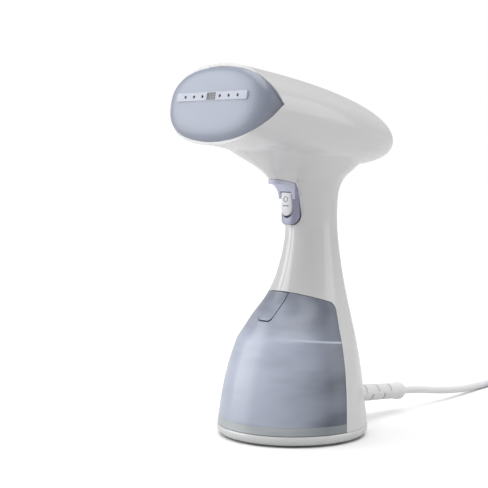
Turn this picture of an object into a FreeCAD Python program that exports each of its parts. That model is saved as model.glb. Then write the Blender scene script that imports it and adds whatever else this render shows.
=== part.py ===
"""Handheld garment steamer, built as separate pieces in millimetres.

The frame: +Z up, +X to the steamer's right, -Y the way it blows steam.
The origin is the middle of the flat rest face under the foot.
"""
import FreeCAD, Part
import math
import os
import Sketcher
from FreeCAD import Matrix, Placement, Rotation, Vector

doc = FreeCAD.newDocument("garment_steamer")
sheet = doc.addObject("Spreadsheet::Sheet", "sizes")

# Driving dimensions: alias -> millimetres or degrees
DIMENSIONS = {
    "wall": 2.4, "seam_gap": 0.35, "fit_gap": 0.15, "face_gap": 0.25,
    "foot_radius": 54.6, "foot_round": 3.6, "foot_height": 8, "tray_roof": 2.4, "tray_wall": 3.9,
    "pad_radius": 47, "pad_height": 1, "cover_radius": 50.4, "cover_height": 2.2,
    "band_height": 6, "shoulder_height": 70, "neck_top": 212,
    "bay_back_low": 0, "bay_back_middle": 6.9, "bay_back_high": 13.3, "bay_corner_height": 95.8,
    "bay_corner_round": 5,
    "bay_slope": 0.33,
    "head_front": -74, "head_height": 236.8, "head_tilt": 9, "head_length": 164,
    "head_width_front": 50.5, "head_width_gain": 19, "head_rise_front": 27.2, "head_rise_gain": 4,
    "head_droop": 4, "head_power": 2.6, "lip_flare": 1, "lip_share": 0.12, "notch_depth": 14.2,
    "panel_bulge": 4.2, "panel_depth": 18, "strip_offset": 3.6, "strip_length": 71,
    "strip_height": 6, "strip_thick": 1.4, "hole_pitch": 8.8, "hole_radius": 1.1,
    "vent_width": 8.4, "vent_height": 4.4,
    "bezel_half": 8.2, "bezel_nose": 6.5, "hook_nose": 21.5, "bezel_low": 151.2, "bezel_high": 184.2,
    "bezel_high_back": 180.2,
    "hook_curve": 11.2, "hook_start": 170, "button_half": 5, "button_low": 158, "button_high": 174.6,
    "button_proud": 1.1, "button_travel": 2.5,
    "latch_top_half": 9, "latch_low_half": 6.5, "latch_low": 84.5, "latch_thick": 1.8,
    "latch_pin_radius": 1.2,
    "heater_half": 33, "heater_front": 18, "heater_back": 84, "heater_low": -13, "heater_high": 7,
    "gasket_thick": 1, "heater_lid": 3, "element_radius": 3.2, "element_bend": 20,
    "pump_radius": 13, "pump_bore": 7.2, "pump_y": 30, "pump_low": 38, "pump_coil_length": 28,
    "barrel_radius": 7, "barrel_bore": 5.2, "barrel_low": 33, "barrel_high": 79,
    "plunger_radius": 5.05, "hose_radius": 2.6, "hose_bore": 1.5, "nipple_radius": 1.45,
    "outlet_height": 21, "outlet_radius": 6, "outlet_bore": 3.6, "spigot_radius": 3.4,
    "boot_height": 21.5, "boot_drop": 4.7, "boot_start": 43, "boot_end": 121, "boot_root_radius": 6.9,
    "boot_tip_radius": 6.1, "boot_bead_radius": 6.9, "lead_radius": 2.95,
    "coil_x": 16, "coil_y": 309, "coil_mid_radius": 35, "coil_layers": 3, "coil_turns_wide": 3,
    "plug_width": 35, "plug_thick": 13.7, "plug_length": 34, "prong_radius": 2, "prong_length": 19,
    "prong_pitch": 18.6, "screw_radius": 1.4, "screw_head_radius": 2.7,
}
for row, (alias, amount) in enumerate(DIMENSIONS.items(), start=1):
    sheet.set(f"A{row}", alias)
    sheet.set(f"B{row}", str(amount))
    sheet.setAlias(f"B{row}", alias)
doc.recompute()

pieces = []


def size(expression):
    """Value of a formula over the sheet's aliases, such as "wall * 2"."""
    return float(sheet.evalExpression(linked(expression)))


def linked(expression):
    """The same formula with every alias written as sizes.alias, which objects can follow."""
    text = str(expression)
    words = "".join(c if c.isalnum() or c == "_" else " " for c in text).split()
    for word in sorted(set(words) & set(DIMENSIONS), key=len, reverse=True):
        text = "".join(swap_word(text, word))
    return text


def swap_word(text, word):
    """Characters of text with each whole word prefixed by the sheet's name."""
    place = 0
    while place < len(text):
        end = place + len(word)
        before = text[place - 1] if place else " "
        after = text[end] if end < len(text) else " "
        whole = not (before.isalnum() or before in "_.") and not (after.isalnum() or after == "_")
        if text[place:end] == word and whole:
            yield "sizes." + word
            place = end
        else:
            yield text[place]
            place += 1


# ---- small makers -------------------------------------------------------------------------

def at(x, y, z, axis=(0, 0, 1)):
    """Placement at a point whose local Z runs along axis."""
    return Placement(Vector(x, y, z), Rotation(Vector(0, 0, 1), Vector(*axis)))


def keep(piece):
    """Marks an object of the document as one of the steamer's pieces."""
    pieces.append(piece)
    return piece


def primitive(kind, label, place, **sizes):
    """A Part primitive whose sizes follow the sheet."""
    thing = doc.addObject("Part::" + kind, label)
    for name, expression in sizes.items():
        thing.setExpression(name, linked(expression))
    thing.Placement = place
    return thing


def cut(label, base, tool):
    thing = doc.addObject("Part::Cut", label)
    thing.Base, thing.Tool = base, tool
    return thing


def fuse(label, *parts):
    thing = doc.addObject("Part::MultiFuse", label)
    thing.Shapes = list(parts)
    return thing


def group(label, parts):
    """Several separate solids that share one node."""
    thing = doc.addObject("Part::Compound", label)
    thing.Links = list(parts)
    return thing


def shaped(label, shape, place=None):
    """A piece whose shape comes straight from Part's own functions."""
    thing = doc.addObject("Part::Feature", label)
    thing.Shape = shape
    if place is not None:
        thing.Placement = place.multiply(thing.Placement)
    return thing


def design_body(label, place):
    body = doc.addObject("PartDesign::Body", label)
    body.Placement = place
    return body


def sketch_on(body, role, offset=0):
    """A sketch on one of the body's own origin planes, moved along its normal."""
    plane = [o for o in body.Origin.OriginFeatures if o.Role == role][0]
    sketch = body.newObject("Sketcher::SketchObject", body.Name + "_sketch")
    sketch.AttachmentSupport = [(plane, "")]
    sketch.MapMode = "FlatFace"
    sketch.setExpression("AttachmentOffset.Base.z", linked(offset))
    return sketch


def outline(sketch, corners):
    """Closed outline of straight edges; each corner is a pair of formulas."""
    spots = [Vector(size(a), size(b), 0) for a, b in corners]
    first = sketch.GeometryCount
    count = len(spots)
    for i in range(count):
        sketch.addGeometry(Part.LineSegment(spots[i], spots[(i + 1) % count]), False)
    for i in range(count):
        sketch.addConstraint(Sketcher.Constraint("Coincident", first + i, 2, first + (i + 1) % count, 1))
    for i, corner in enumerate(corners):
        for kind, expression, amount in zip(("DistanceX", "DistanceY"), corner, spots[i]):
            mark = sketch.addConstraint(Sketcher.Constraint(kind, -1, 1, first + i, 1, amount))
            sketch.setExpression(f"Constraints[{mark}]", linked(expression))


def ring(sketch, radius, x=0, y=0):
    """Circle in a sketch with its radius and centre bound to formulas."""
    spot = Vector(size(x), size(y), 0)
    mark = sketch.addGeometry(Part.Circle(spot, Vector(0, 0, 1), size(radius)), False)
    bound = [("Radius", (mark, size(radius)), radius), ("DistanceX", (-1, 1, mark, 3, spot.x), x),
             ("DistanceY", (-1, 1, mark, 3, spot.y), y)]
    for kind, place, expression in bound:
        number = sketch.addConstraint(Sketcher.Constraint(kind, *place))
        sketch.setExpression(f"Constraints[{number}]", linked(expression))


def turned(label, corners, place):
    """A body of revolution about its own Z; corners are (radius, height) pairs."""
    body = design_body(label, place)
    sketch = sketch_on(body, "XZ_Plane")
    outline(sketch, corners)
    turn = body.newObject("PartDesign::Revolution", label + "_turn")
    turn.Profile, turn.ReferenceAxis, turn.Angle = sketch, (sketch, ["V_Axis"]), 360
    return body


def padded(body, sketch, length):
    pad = body.newObject("PartDesign::Pad", body.Name + "_pad")
    pad.Profile = sketch
    pad.setExpression("Length", linked(length))
    return pad


def pocketed(body, sketch, depth):
    """A pocket that runs up from the body's low side, against the sketch's normal."""
    pocket = body.newObject("PartDesign::Pocket", body.Name + "_pocket")
    pocket.Profile, pocket.Reversed = sketch, True
    pocket.setExpression("Length", linked(depth))
    return pocket


def plate(label, half_x, half_y, thick, place, holes=()):
    """A flat rectangular plate with round holes, each (radius, x, y), standing on its own XY plane."""
    body = design_body(label, place)
    sketch = sketch_on(body, "XY_Plane")
    outline(sketch, [(f"-({half_x})", f"-({half_y})"), (half_x, f"-({half_y})"), (half_x, half_y),
                     (f"-({half_x})", half_y)])
    for radius, x, y in holes:
        ring(sketch, radius, x, y)
    padded(body, sketch, thick)
    return body


def screws(label, spots, length, head="screw_head_radius", shank="screw_radius"):
    """Round-headed screws in one node; each spot is a placement whose Z points out of the head."""
    made = []
    for i, spot in enumerate(spots):
        crown = primitive("Cylinder", f"{label}_head{i}", spot, Radius=head, Height="screw_radius")
        stem_spot = spot.multiply(at(0, 0, -size(length)))
        stem = primitive("Cylinder", f"{label}_stem{i}", stem_spot, Radius=shank, Height=length)
        made.append(fuse(f"{label}_{i}", crown, stem))
    return group(label, made)


def spring(label, place, radius, wire, pitch, turns):
    """A coil spring that stands on its placement's XY plane."""
    helix = Part.makeLongHelix(pitch, pitch * turns, radius)
    start = Part.Wire(Part.makeCircle(wire, Vector(radius, 0, 0), Vector(0, 1, 0)))
    coil = Part.Wire(helix.Edges).makePipeShell([start], True, True)
    return shaped(label, coil, place)


def oval(half_a, half_b, power, place, steps=24):
    """Closed smooth section |x/a|^power + |y/b|^power = 1 in a placement's XY plane."""
    spots = []
    for i in range(steps):
        angle = 2 * math.pi * i / steps
        c, s = math.cos(angle), math.sin(angle)
        x = half_a * math.copysign(abs(c) ** (2 / power), c)
        y = half_b * math.copysign(abs(s) ** (2 / power), s)
        spots.append(place.multVec(Vector(x, y, 0)))
    curve = Part.BSplineCurve()
    curve.interpolate(spots, PeriodicFlag=True)
    return Part.Wire([curve.toShape()])


def extruded(corners, low_x, high_x):
    """Prism along X of an outline in the YZ plane."""
    flat = [Vector(low_x, y, z) for y, z in corners]
    return Part.Face(Part.makePolygon(flat + flat[:1])).extrude(Vector(high_x - low_x, 0, 0))


def rounded_route(points, share=0.45):
    """Straight runs joined by tangent arcs, each as large as its two runs allow, and the arcs' radii."""
    spots = [Vector(*p) for p in points]
    edges, radii, last = [], [], spots[0]
    for before, corner, after in zip(spots, spots[1:], spots[2:]):
        arrive, leave = corner - before, after - corner
        reach = share * min(arrive.Length, leave.Length)
        turn = arrive.getAngle(leave)
        radii.append(reach / math.tan(turn / 2))
        arrive.normalize()
        leave.normalize()
        start, end = corner - arrive * reach, corner + leave * reach
        inward = (leave - arrive).normalize()
        middle = corner + inward * radii[-1] * (1 / math.cos(turn / 2) - 1)
        edges += [Part.LineSegment(last, start).toShape(), Part.Arc(start, middle, end).toShape()]
        last = end
    edges.append(Part.LineSegment(last, spots[-1]).toShape())
    return Part.Wire(edges), radii


def tube(label, points, radius, bore=0):
    """Round tube or solid lead along a rounded route; prints its length and tightest bend."""
    path, radii = rounded_route(points)
    start = Vector(*points[0])
    facing = Vector(*points[1]) - start
    solid = path.makePipeShell([Part.Wire(Part.makeCircle(radius, start, facing))], True, False)
    expected = math.pi * radius ** 2 * path.Length
    bends = [round(r, 1) for r in radii]
    print(f"{label}: length {path.Length:.1f}, radii {bends}, volume ratio {solid.Volume / expected:.4f}")
    if bore:
        solid = solid.cut(path.makePipeShell([Part.Wire(Part.makeCircle(bore, start, facing))], True, False))
    return shaped(label, solid)


# ---- the outer form ------------------------------------------------------------------------

# Level sections of the stand and handle: height, half width, half depth, middle's y
STAND = [(8, 54.3, 54.3, 0), (32, 51.4, 51.4, 0.8), (52, 47.7, 47.9, 2.2), (70, 42.9, 43.7, 4.4)]
HANDLE = [(70, 42.5, 43.5, 4.4), (77, 38.9, 41.0, 6.7), (86, 34.7, 37.3, 9.5), (100, 28.1, 30.4, 14.8),
          (118, 22.3, 25.0, 18.1), (145, 17.9, 20.6, 19.6), (165, 18.4, 21.4, 18.3), (176, 19.3, 23.3, 18.1),
          (185, 21.5, 26.4, 19.8), (193, 27, 35.7, 21.7), (203, 36, 50.5, 16.5), (212, 42, 62, 8)]

# The narrow keel that runs from over the trigger up under the face and spreads into the head
KEEL = [(180, 8.2, 14, -4), (186.8, 9.4, 16.6, -6.6), (193, 14.5, 20.6, -10), (203, 27, 28, -18), (212, 41, 34, -20)]


# The grip without the neck's flare, which the trigger's surround is seated on
GRIP = [(140, 18.1, 20.9, 19.4), (165, 18.4, 21.4, 18.3), (190, 18.8, 22.2, 17.2)]


def level_loft(sections, inset, power=2):
    rings = [oval(a - inset, b - inset, power, at(0, y, z)) for z, a, b, y in sections]
    return Part.makeLoft(rings, True, False)


def head_place():
    spot = Vector(0, size("head_front"), size("head_height"))
    return Placement(spot, Rotation(Vector(1, 0, 0), -size("head_tilt")))


def in_head(x, along, rise, axis=(0, 0, 1)):
    """Placement given in the head's own frame: along runs from the face to the tail."""
    return head_place().multiply(at(x, along, rise, axis))


def head_section(t, inset):
    """Half width, half rise and droop of the head at a share t of its length."""
    dome = math.sqrt(max(0, 1 - t ** size("head_power")))
    half = (size("head_width_front") + size("head_width_gain") * t) * dome - inset
    rise = (size("head_rise_front") + size("head_rise_gain") * t) * dome - inset
    flare = size("lip_flare") * max(0, 1 - t / size("lip_share")) ** 2
    return half, rise + flare, -size("head_droop") * t * t - flare


def head_form(inset, steps=12):
    """The bullet-shaped head, closed at the tail, in its own frame turned into place."""
    length = size("head_length")
    rings = []
    for i in range(steps):
        t = math.sin(math.pi / 2 * 0.98 * i / (steps - 1)) * (1 - 0.35 * inset / length)
        half, rise, droop = head_section(t, inset)
        face = Placement(Vector(0, t * length, droop), Rotation(Vector(1, 0, 0), 90))
        rings.append(oval(half, rise, 2.12, face))
    tip = Part.Vertex(0, length - inset, -size("head_droop"))
    form = Part.makeLoft(rings + [tip], True, False)
    form.Placement = head_place()
    return form


def outer_form(inset):
    """Stand, handle, neck and head as one solid, its surface moved in by inset."""
    keel = KEEL[1:] if inset else KEEL
    return level_loft(STAND, inset).fuse([level_loft(HANDLE, inset), level_loft(keel, inset, 2.4), head_form(inset)])


def tank_bay(grow, low):
    """Space of the water tank: a prism across the steamer with a bent back and a slanted roof."""
    slope, front = size("bay_slope"), -90
    back = [(size("bay_back_low"), size("foot_height")), (size("bay_back_middle"), size("shoulder_height")),
            (size("bay_back_high"), size("bay_corner_height"))]
    leans = [(b[0] - a[0]) / (b[1] - a[1]) for a, b in zip(back, back[1:])]
    shifts = [grow * math.hypot(1, lean) for lean in leans]
    start_y = back[0][0] + shifts[0] - leans[0] * (back[0][1] - low)
    top_y = back[2][0] + shifts[1]
    top_z = back[2][1] + grow * math.hypot(1, slope) - slope * shifts[1]
    corners = [(front, low), (start_y, low), (back[1][0] + sum(shifts) / 2, back[1][1]), (top_y, top_z),
               (front, top_z + slope * (top_y - front))]
    bay = extruded(corners, -70, 70)
    edge = [e for e in bay.Edges if abs(e.CenterOfMass.y - top_y) < 0.01 and abs(e.CenterOfMass.z - top_z) < 0.01]
    return bay.makeFillet(size("bay_corner_round") + grow, edge)


def notch_prism(shrink):
    """Everything ahead of the V-shaped front edge of the casing, in the head's frame."""
    depth = size("notch_depth") - shrink
    side = [(depth, 0), (0.76 * depth, 4.5), (0.5 * depth, 10), (0.25 * depth, 15), (0.07 * depth, 20),
            (-shrink, 25), (-shrink, 40)]
    upper = Part.BSplineCurve()
    upper.interpolate([Vector(-80, y, z) for y, z in side])
    lower = Part.BSplineCurve()
    lower.interpolate([Vector(-80, y, -z) for y, z in side])
    far = [Vector(-80, -shrink, 40), Vector(-80, -60, 40), Vector(-80, -60, -40), Vector(-80, -shrink, -40)]
    rim = Part.Wire([upper.toShape()] + [Part.LineSegment(a, b).toShape() for a, b in zip(far, far[1:])]
                    + [lower.toShape()])
    prism = Part.Face(rim).extrude(Vector(160, 0, 0))
    prism.Placement = head_place()
    return prism



def corner_prism(corners, depth, facing):
    """Prism of an outline in the XZ plane, extruded along Y from facing to facing + depth."""
    flat = [Vector(x, facing, z) for x, z in corners]
    return Part.Face(Part.makePolygon(flat + flat[:1])).extrude(Vector(0, depth, 0))


def arch_prism(half, low, high, front, back):
    """Upright slab along Y whose lower end is a half round, as on the trigger and its window."""
    middle = low + half
    left, right = Vector(-half, front, middle), Vector(half, front, middle)
    bottom = Part.Arc(left, Vector(0, front, low), right).toShape()
    top_right, top_left = Vector(half, front, high), Vector(-half, front, high)
    rim = [bottom] + [Part.LineSegment(a, b).toShape() for a, b in
                      [(right, top_right), (top_right, top_left), (top_left, left)]]
    return Part.Face(Part.Wire(rim)).extrude(Vector(0, back - front, 0))


def nose_prism(half, nose, low, high, back, middle=0.5, power=3):
    """Upright block, flat behind, whose rounded square front reaches nose ahead of middle."""
    steps = 16
    spots = []
    for i in range(steps + 1):
        angle = math.pi * i / steps
        across, ahead = math.cos(angle), math.sin(angle)
        spots.append(Vector(half * math.copysign(abs(across) ** (2 / power), across),
                            middle - nose * abs(ahead) ** (2 / power), low))
    curve = Part.BSplineCurve()
    curve.interpolate(spots)
    right, left = spots[0], spots[-1]
    back_right, back_left = Vector(half, back, low), Vector(-half, back, low)
    rim = [curve.toShape()] + [Part.LineSegment(a, b).toShape() for a, b in
                               [(left, back_left), (back_left, back_right), (back_right, right)]]
    return Part.Face(Part.Wire(rim)).extrude(Vector(0, 0, high - low))


def box(low, high):
    spans = [b - a for a, b in zip(low, high)]
    return Part.makeBox(*spans, Vector(*low))


def rod(radius, start, end):
    """Solid cylinder between two points."""
    run = Vector(*end) - Vector(*start)
    return Part.makeCylinder(radius, run.Length, Vector(*start), run)


def boot_point(y, lift=0):
    """Point of the lead's axis inside the strain relief at a distance y behind the middle."""
    fall = math.tan(math.radians(size("boot_drop")))
    return (0, y, size("boot_height") - fall * (y - (size("foot_radius") - 3)) + lift)


# ---- casing ---------------------------------------------------------------------------------

# Where the left half is screwed to the right one: y, z
CASING_SCREWS = [(37, 12.5), (38.2, 95), (33.5, 138), (70, 211), (22, 238.5), (-27, 202)]
SCREW_FLOOR = -8
BOSS_RADIUS = 4.3
FOOT_SCREWS = [(-22, 30), (22, 30)]
BOARD_POSTS = [(9, 58), (25, 47)]
BOARD_LEVEL = 206
CLAMP_POSTS = [-6.5, 6.5]


def casing_bosses(form):
    """Screw bosses, posts and bushes' seats, trimmed to stay under the outer skin."""
    posts = [rod(BOSS_RADIUS, (-70, y, z), (70, y, z)) for y, z in CASING_SCREWS]
    posts += [rod(3.6, (x, y, 0), (x, y, 18)) for x, y in FOOT_SCREWS]
    posts += [rod(2.6, (x, y, 190), (x, y, BOARD_LEVEL)) for x, y in BOARD_POSTS]
    posts += [rod(2.8, (x, 37, 11), (x, 37, boot_point(37, size("lead_radius"))[2])) for x in CLAMP_POSTS]
    for side in (-1, 1):
        for along in (32, 70):
            seat = Part.makeCylinder(6, 20, Vector(side * 43.5, along, -3), Vector(side, 0, 0))
            seat.Placement = head_place().multiply(seat.Placement)
            posts.append(seat)
    return posts[0].fuse(posts[1:]).common(form)


def casing():
    """White casing, still in one: hollow, open at the face, the trigger and the lead."""
    wall = size("wall")
    foot = size("foot_height")
    outer, inner = outer_form(0), outer_form(wall)
    bay = tank_bay(0, foot)
    hollow = inner.cut(tank_bay(wall, foot - 1))
    shell = outer.cut([bay, notch_prism(0)]).cut([hollow, panel_loft(-size("face_gap"))])
    shell = shell.fuse(casing_bosses(outer_form(wall / 2)).cut([tank_bay(wall / 2, foot), notch_prism(-6)]))
    hook_room = bezel_block(size("hook_nose"), 0.3).common(box((-20, -40, size("hook_start") + 5), (20, 20, 200)))
    tools = [arch_prism(6.95, 153.85, 178.95, -20, 8), bezel_block(size("bezel_nose"), 0.3), hook_room]
    for y, z in CASING_SCREWS:
        tools.append(rod(size("screw_radius"), (SCREW_FLOOR, y, z), (-SCREW_FLOOR + 0.5, y, z)))
        tools.append(rod(size("screw_head_radius") + 0.3, (SCREW_FLOOR, y, z), (-70, y, z)))
    tools += [rod(size("screw_radius"), (x, y, 0), (x, y, 16)) for x, y in FOOT_SCREWS]
    tools += [rod(1.1, (x, y, BOARD_LEVEL - 8), (x, y, BOARD_LEVEL)) for x, y in BOARD_POSTS]
    tools += [rod(1.1, (x, 37, 18), (x, 37, 30)) for x in CLAMP_POSTS]
    tools.append(rod(5.5, boot_point(46), boot_point(60)))
    tools.append(rod(5.6, (0, -2, size("outlet_height")), (0, 8, size("outlet_height"))))
    return shell.cut(tools)


def make_casing():
    whole = casing()
    keep(shaped("body_shell_right", whole.common(box((0, -100, 0), (80, 120, 300)))))
    keep(shaped("body_shell_left", whole.common(box((-80, -100, 0), (0, 120, 300)))))
    spots = [at(SCREW_FLOOR, y, z, (-1, 0, 0)) for y, z in CASING_SCREWS]
    keep(screws("body_screws", spots, "16"))


# ---- foot -----------------------------------------------------------------------------------

def make_foot():
    pad_top, roof = "pad_height", "foot_height - tray_roof"
    skirt = turned("tray_skirt", [("0", "foot_height"), ("foot_radius - 0.2", "foot_height"),
                                  ("foot_radius", pad_top), ("foot_radius - tray_wall", pad_top),
                                  ("foot_radius - tray_wall", roof), ("0", roof)], Placement())
    doc.recompute()
    low_rim = [f"Edge{i}" for i, e in enumerate(skirt.Shape.Edges, start=1)
               if abs(e.BoundBox.ZMax - size(pad_top)) < 1e-3 and abs(e.BoundBox.XMax - size("foot_radius")) < 1e-3
               and e.BoundBox.ZLength < 1e-3]
    plain = skirt.Tip
    rounding = skirt.newObject("PartDesign::Fillet", "tray_rounding")
    rounding.Base = (plain, low_rim)
    rounding.setExpression("Radius", linked("foot_round"))
    spots = [(36 * math.cos(a), 36 * math.sin(a)) for a in (0.6, 2.54, 3.9, 5.6)]
    bosses = [primitive("Cylinder", f"tray_boss{i}", at(x, y, size("pad_height + cover_height")),
                        Radius="3.6", Height="foot_height - tray_roof - pad_height - cover_height")
              for i, (x, y) in enumerate(spots)]
    holes = [primitive("Cylinder", f"tray_hole{i}", at(x, y, 2), Radius="screw_radius", Height="5")
             for i, (x, y) in enumerate(spots)]
    holes += [primitive("Cylinder", f"tray_port{i}", at(x, y, 4), Radius="screw_radius", Height="6")
              for i, (x, y) in enumerate(FOOT_SCREWS)]
    keep(cut("base_tray", fuse("tray_solid", skirt, *bosses), group("tray_holes", holes)))
    cover = turned("cover_disc", [("0", "pad_height"), ("cover_radius", "pad_height"),
                                  ("cover_radius", "pad_height + cover_height"),
                                  ("0", "pad_height + cover_height")], Placement())
    sinks = [primitive("Cylinder", f"cover_sink{i}", at(x, y, 0), Radius="screw_head_radius",
                       Height="pad_height + screw_radius") for i, (x, y) in enumerate(spots)]
    sinks += [primitive("Cylinder", f"cover_bore{i}", at(x, y, 0), Radius="screw_radius", Height="6")
              for i, (x, y) in enumerate(spots)]
    keep(cut("base_cover", cover, group("cover_holes", sinks)))
    keep(turned("base_pad", [("0", "0"), ("pad_radius - 0.6", "0"), ("pad_radius", "0.5"),
                             ("pad_radius", "pad_height"), ("0", "pad_height")], Placement()))
    head = size("pad_height + screw_radius")
    keep(screws("base_screws", [at(x, y, head, (0, 0, -1)) for x, y in spots], "4.4"))
    under_roof = size("foot_height - tray_roof")
    keep(screws("foot_screws", [at(x, y, under_roof, (0, 0, -1)) for x, y in FOOT_SCREWS], "10"))


# ---- head -----------------------------------------------------------------------------------

# Front dome of the steam panel in the head's frame: along, half width, half rise, squareness
PANEL = [(-4.2, 36, 17.8, 2.7), (-3.7, 41, 21.4, 2.6), (-2.2, 45.2, 24.3, 2.5), (0.8, 48.4, 26.3, 2.35),
         (6, 50.2, 26.3, 2.2), (15, 51.0, 25.5, 2.12)]


def panel_loft(inset, shift=0):
    rings = []
    for along, half, rise, power in PANEL:
        face = Placement(Vector(0, along + shift, -size("lip_flare")), Rotation(Vector(1, 0, 0), 90))
        rings.append(oval(half - inset, rise - inset, power, face))
    form = Part.makeLoft(rings, True, False)
    form.Placement = head_place()
    return form


def sleeve_ring(low, high, outer_inset, inner_inset):
    """Ring that fits just inside the casing between two distances from the face."""
    forms = []
    for inset in (outer_inset, inner_inset):
        rings = []
        for along in (low, (low + high) / 2, high):
            half, rise, droop = head_section(max(0, along) / size("head_length"), inset)
            rings.append(oval(half, rise, 2.12, Placement(Vector(0, along, droop), Rotation(Vector(1, 0, 0), 90))))
        form = Part.makeLoft(rings, True, False)
        form.Placement = head_place()
        forms.append(form)
    return forms[0].cut(forms[1])


def head_box(low, high):
    block = box(low, high)
    block.Placement = head_place()
    return block


def make_panel():
    front, offset = -size("panel_bulge"), size("strip_offset")
    gap, thick = size("fit_gap"), 2.2
    half, rise = size("strip_length") / 2, size("strip_height") / 2
    depth, pitch = size("strip_thick"), size("hole_pitch")
    skin = panel_loft(0).common(notch_prism(gap))
    tail = sleeve_ring(-1, size("panel_depth"), size("wall") + gap, size("wall") + gap + thick)
    panel = skin.fuse(tail)
    hollow = panel_loft(thick + 0.4, thick).cut(sleeve_ring(-4, 40, -20, size("wall") + gap + thick - 0.01))
    panel = panel.cut(hollow)
    panel = panel.cut(head_box((-half - gap, front - 2, offset - rise - gap),
                               (half + gap, front + depth - 0.4, offset + rise + gap)))
    holes = [i * pitch for i in (-3, -2, -1, 1, 2, 3)]
    drills = []
    for x in holes:
        drill = rod(size("hole_radius"), (x, front - 3, offset), (x, front + 8, offset))
        drill.Placement = head_place()
        drills.append(drill)
    vent_half, vent_rise = size("vent_width") / 2, size("vent_height") / 2
    window = head_box((-vent_half, front - 3, offset - vent_rise), (vent_half, front + 8, offset + vent_rise))
    keep(shaped("steam_panel", panel.cut(drills + [window])))
    strip = box((-half, front - 0.4, offset - rise), (half, front + depth - 0.4, offset + rise))
    uprights = [e for e in strip.Edges if e.BoundBox.YLength > depth - 0.01]
    strip = strip.makeFillet(1.2, uprights)
    strip.Placement = head_place()
    keep(shaped("nozzle_strip", strip.cut(drills + [window])))
    bars = [head_box((-vent_half + gap, front + 0.5, offset - vent_rise + gap),
                     (vent_half - gap, front + 2.6, offset + vent_rise - gap))]
    for i in range(4):
        x = -vent_half + 1.5 + i * 1.75
        bars.append(head_box((x, front - 1, offset - vent_rise + 0.8), (x + 0.8, front + 4, offset + vent_rise - 0.8)))
    keep(shaped("vent_grille", bars[0].cut(bars[1:])))


def make_heater():
    half, front, back = size("heater_half"), size("heater_front"), size("heater_back")
    low, high = size("heater_low"), size("heater_high")
    middle = (front + back) / 2
    block = design_body("heater_casting", in_head(0, middle, low))
    outline(sketch_on(block, "XY_Plane"), [
        ("-heater_half", "-(heater_back - heater_front) / 2"), ("heater_half", "-(heater_back - heater_front) / 2"),
        ("heater_half", "(heater_back - heater_front) / 2"), ("-heater_half", "(heater_back - heater_front) / 2")])
    padded(block, block.Group[0], "heater_high - heater_low")
    chamber = sketch_on(block, "XY_Plane", "heater_high - heater_low - 11")
    outline(chamber, [("-heater_half + 6", "-(heater_back - heater_front) / 2 + 6"),
                      ("heater_half - 6", "-(heater_back - heater_front) / 2 + 6"),
                      ("heater_half - 6", "(heater_back - heater_front) / 2 - 6"),
                      ("-heater_half + 6", "(heater_back - heater_front) / 2 - 6")])
    pocketed(block, chamber, "20")
    ribs = [primitive("Box", f"heater_rib{i}", in_head(-half + 6 + (0 if i % 2 else 9), middle - 18 + 9 * i, low + 8),
                      Length="heater_half * 2 - 21", Width="2.4", Height="heater_high - heater_low - 9")
            for i in range(5)]
    outlet = primitive("Box", "heater_outlet", in_head(-30, front - 5, 0), Length="60", Width="12", Height="4")
    inlet = primitive("Cylinder", "heater_inlet", in_head(0, back + 2, 0, (0, -1, 0)), Radius="nipple_radius",
                      Height="12")
    keep(cut("heater_block", fuse("heater_solid", block, *ribs), group("heater_ports", [outlet, inlet])))
    keep(plate("heater_gasket", "heater_half", "(heater_back - heater_front) / 2", "gasket_thick",
               in_head(0, middle, high), [("screw_radius", x, y) for x, y in heater_screw_spots()]))
    keep(plate("heater_cover", "heater_half", "(heater_back - heater_front) / 2", "heater_lid",
               in_head(0, middle, high + size("gasket_thick")),
               [("screw_radius", x, y) for x, y in heater_screw_spots()]))
    top = high + size("gasket_thick") + size("heater_lid")
    keep(screws("heater_screws", [in_head(size(x), middle + size(y), top) for x, y in heater_screw_spots()], "4"))


def heater_screw_spots():
    """Screws of the steam chamber's lid, from the chamber's middle."""
    return [(f"{side}(heater_half - 3)", str(along)) for side in ("", "-") for along in (-29, 0, 29)]


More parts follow.
